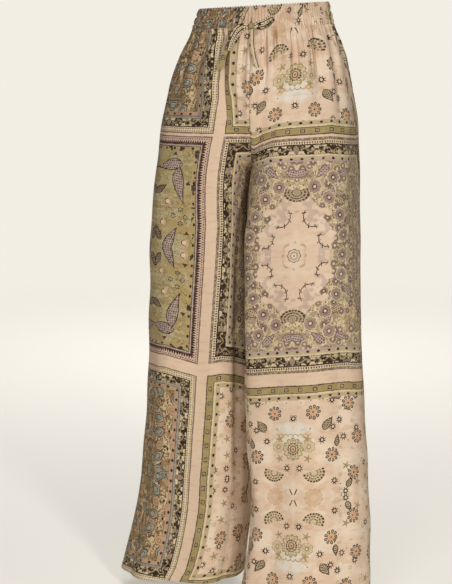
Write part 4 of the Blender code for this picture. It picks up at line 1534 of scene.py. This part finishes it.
def knot_surface(columns, rows):
    """A rounded block, |x|^3 + |y|^3 + |z|^3 = 1 stretched to the knot's size, with slanted wrap grooves."""
    round_it = np.linspace(0, 2 * np.pi, columns, endpoint=False)
    a, b = np.meshgrid(round_it, np.linspace(-np.pi / 2, np.pi / 2, rows))
    x, y, z = np.cos(b) * np.cos(a), np.cos(b) * np.sin(a), np.sin(b)
    size = (np.abs(x) ** 3 + np.abs(y) ** 3 + np.abs(z) ** 3) ** (1 / 3)
    wraps = np.abs(np.sin(2.5 * np.pi * (0.7 * x + 0.45 * z) + 0.6)) ** 0.5
    fold = 1 - 0.085 * wraps * np.cos(b) ** 0.5
    x, y, z = (v / size * fold * length / 2 for v, length in zip((x, y, z), KNOT_SIZE))
    return np.stack([x, y, z], axis=-1) + front_point(0.0, KNOT_Z, SEAM_GAP + KNOT_SIZE[1] / 2)


KNOT_PRINT_X = 0.0200
knot_points = knot_surface(columns=40, rows=26)
knot_print = np.stack([KNOT_PRINT_X + knot_points[..., 0], RIBBON_PRINT_Y + knot_points[..., 2]], axis=-1)
knot = add_piece("bow_knot_cloth", knot_points, knot_print, flip=False, ring=True)
close_ends(knot.data)
knot.data.materials.append(cloth_face)
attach(knot, "root")
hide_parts("bow_knot")

LOOP_STEPS, TAIL_STEPS = 72, 60
loops = [(loop, *loop_line(loop, LOOP_STEPS)) for loop in LOOPS]
tails = [(tail, *tail_line(tail, TAIL_STEPS)) for tail in TAILS]
for strip, middle, outward in loops + tails:
    is_loop = strip in LOOPS
    piece = ribbon(f"{strip.name}_cloth", middle, outward, strip.print_x, 0.0 if is_loop else strip.slant)
    piece.data.materials.append(cloth_face)
    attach(piece, "root")
    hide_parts(strip.name)


# ---------------------------------------------------------------- floor and light
# A plain pale floor, 30 mm below the hems, that fades into an even pale surround, and soft light: a
# small key from the right, a wider fill from the front, one light above and one behind.
FLOOR = HEM - 0.030
FLOOR_HALF = 9.0
FADE_START, FADE_END = 0.9, 4.0
SURROUND = (0.89, 0.857, 0.777, 1.0)

floor_x, floor_y = np.meshgrid((-FLOOR_HALF, FLOOR_HALF), (FLOOR_HALF, -FLOOR_HALF))
floor_points = np.stack([floor_x, floor_y, np.full_like(floor_x, FLOOR)], axis=-1)
floor = add_piece("floor", floor_points, floor_points[..., :2], flip=True)
pale_floor = bpy.data.materials.new("pale floor")
pale_floor.use_nodes = True
floor_nodes, floor_links = pale_floor.node_tree.nodes, pale_floor.node_tree.links
floor_shader = floor_nodes["Principled BSDF"]
floor_shader.inputs["Base Color"].default_value = (0.60, 0.575, 0.525, 1.0)
floor_shader.inputs["Roughness"].default_value = 0.9
floor_shader.inputs["Emission Color"].default_value = SURROUND
floor_shader.inputs["Emission Strength"].default_value = 0.40
floor_place = floor_nodes.new("ShaderNodeUVMap")
floor_place.uv_map = "print"
far_x, far_y, _ = parts_of(Amount(floor_place.outputs[0]))
fade = floor_nodes.new("ShaderNodeMixShader")
feed(fade.inputs[0], far_x.length_with(far_y).rise(FADE_START, FADE_END))
floor_links.new(floor_shader.outputs[0], fade.inputs[1])
floor_links.new(floor_nodes.new("ShaderNodeBsdfTransparent").outputs[0], fade.inputs[2])
floor_links.new(fade.outputs[0], floor_nodes["Material Output"].inputs["Surface"])
floor.data.materials.append(pale_floor)

for name, place, aim, size, watts in (
    ("key light", (2.0, -2.9, 0.7), (0.0, 0.0, -0.60), 0.4, 62.0),
    ("fill light", (-0.2, -3.5, 0.1), (0.0, 0.0, -0.65), 1.0, 50.0),
    ("high light", (0.5, -1.3, 2.6), (0.0, 0.0, 0.0), 1.2, 14.0),
    ("back light", (-0.8, 3.0, 1.0), (0.0, 0.0, -0.5), 1.6, 75.0),
):
    light = bpy.data.objects.new(name, bpy.data.lights.new(name, "AREA"))
    light.data.shape, light.data.size, light.data.energy = "SQUARE", size, watts
    light.location = place
    way = np.array(aim) - np.array(place)
    light.rotation_euler = (np.arctan2(np.hypot(way[0], way[1]), -way[2]), 0.0, np.arctan2(-way[0], way[1]))
    bpy.context.scene.collection.objects.link(light)

# The surround throws no light on matt cloth, so that the four lights alone shape its folds.
world = bpy.data.worlds.new("studio")
bpy.context.scene.world = world
world.use_nodes = True
world.node_tree.nodes["Background"].inputs["Color"].default_value = SURROUND
world.node_tree.nodes["Background"].inputs["Strength"].default_value = 1.0
world.cycles_visibility.diffuse = False
bpy.context.scene.view_settings.view_transform = "Standard"
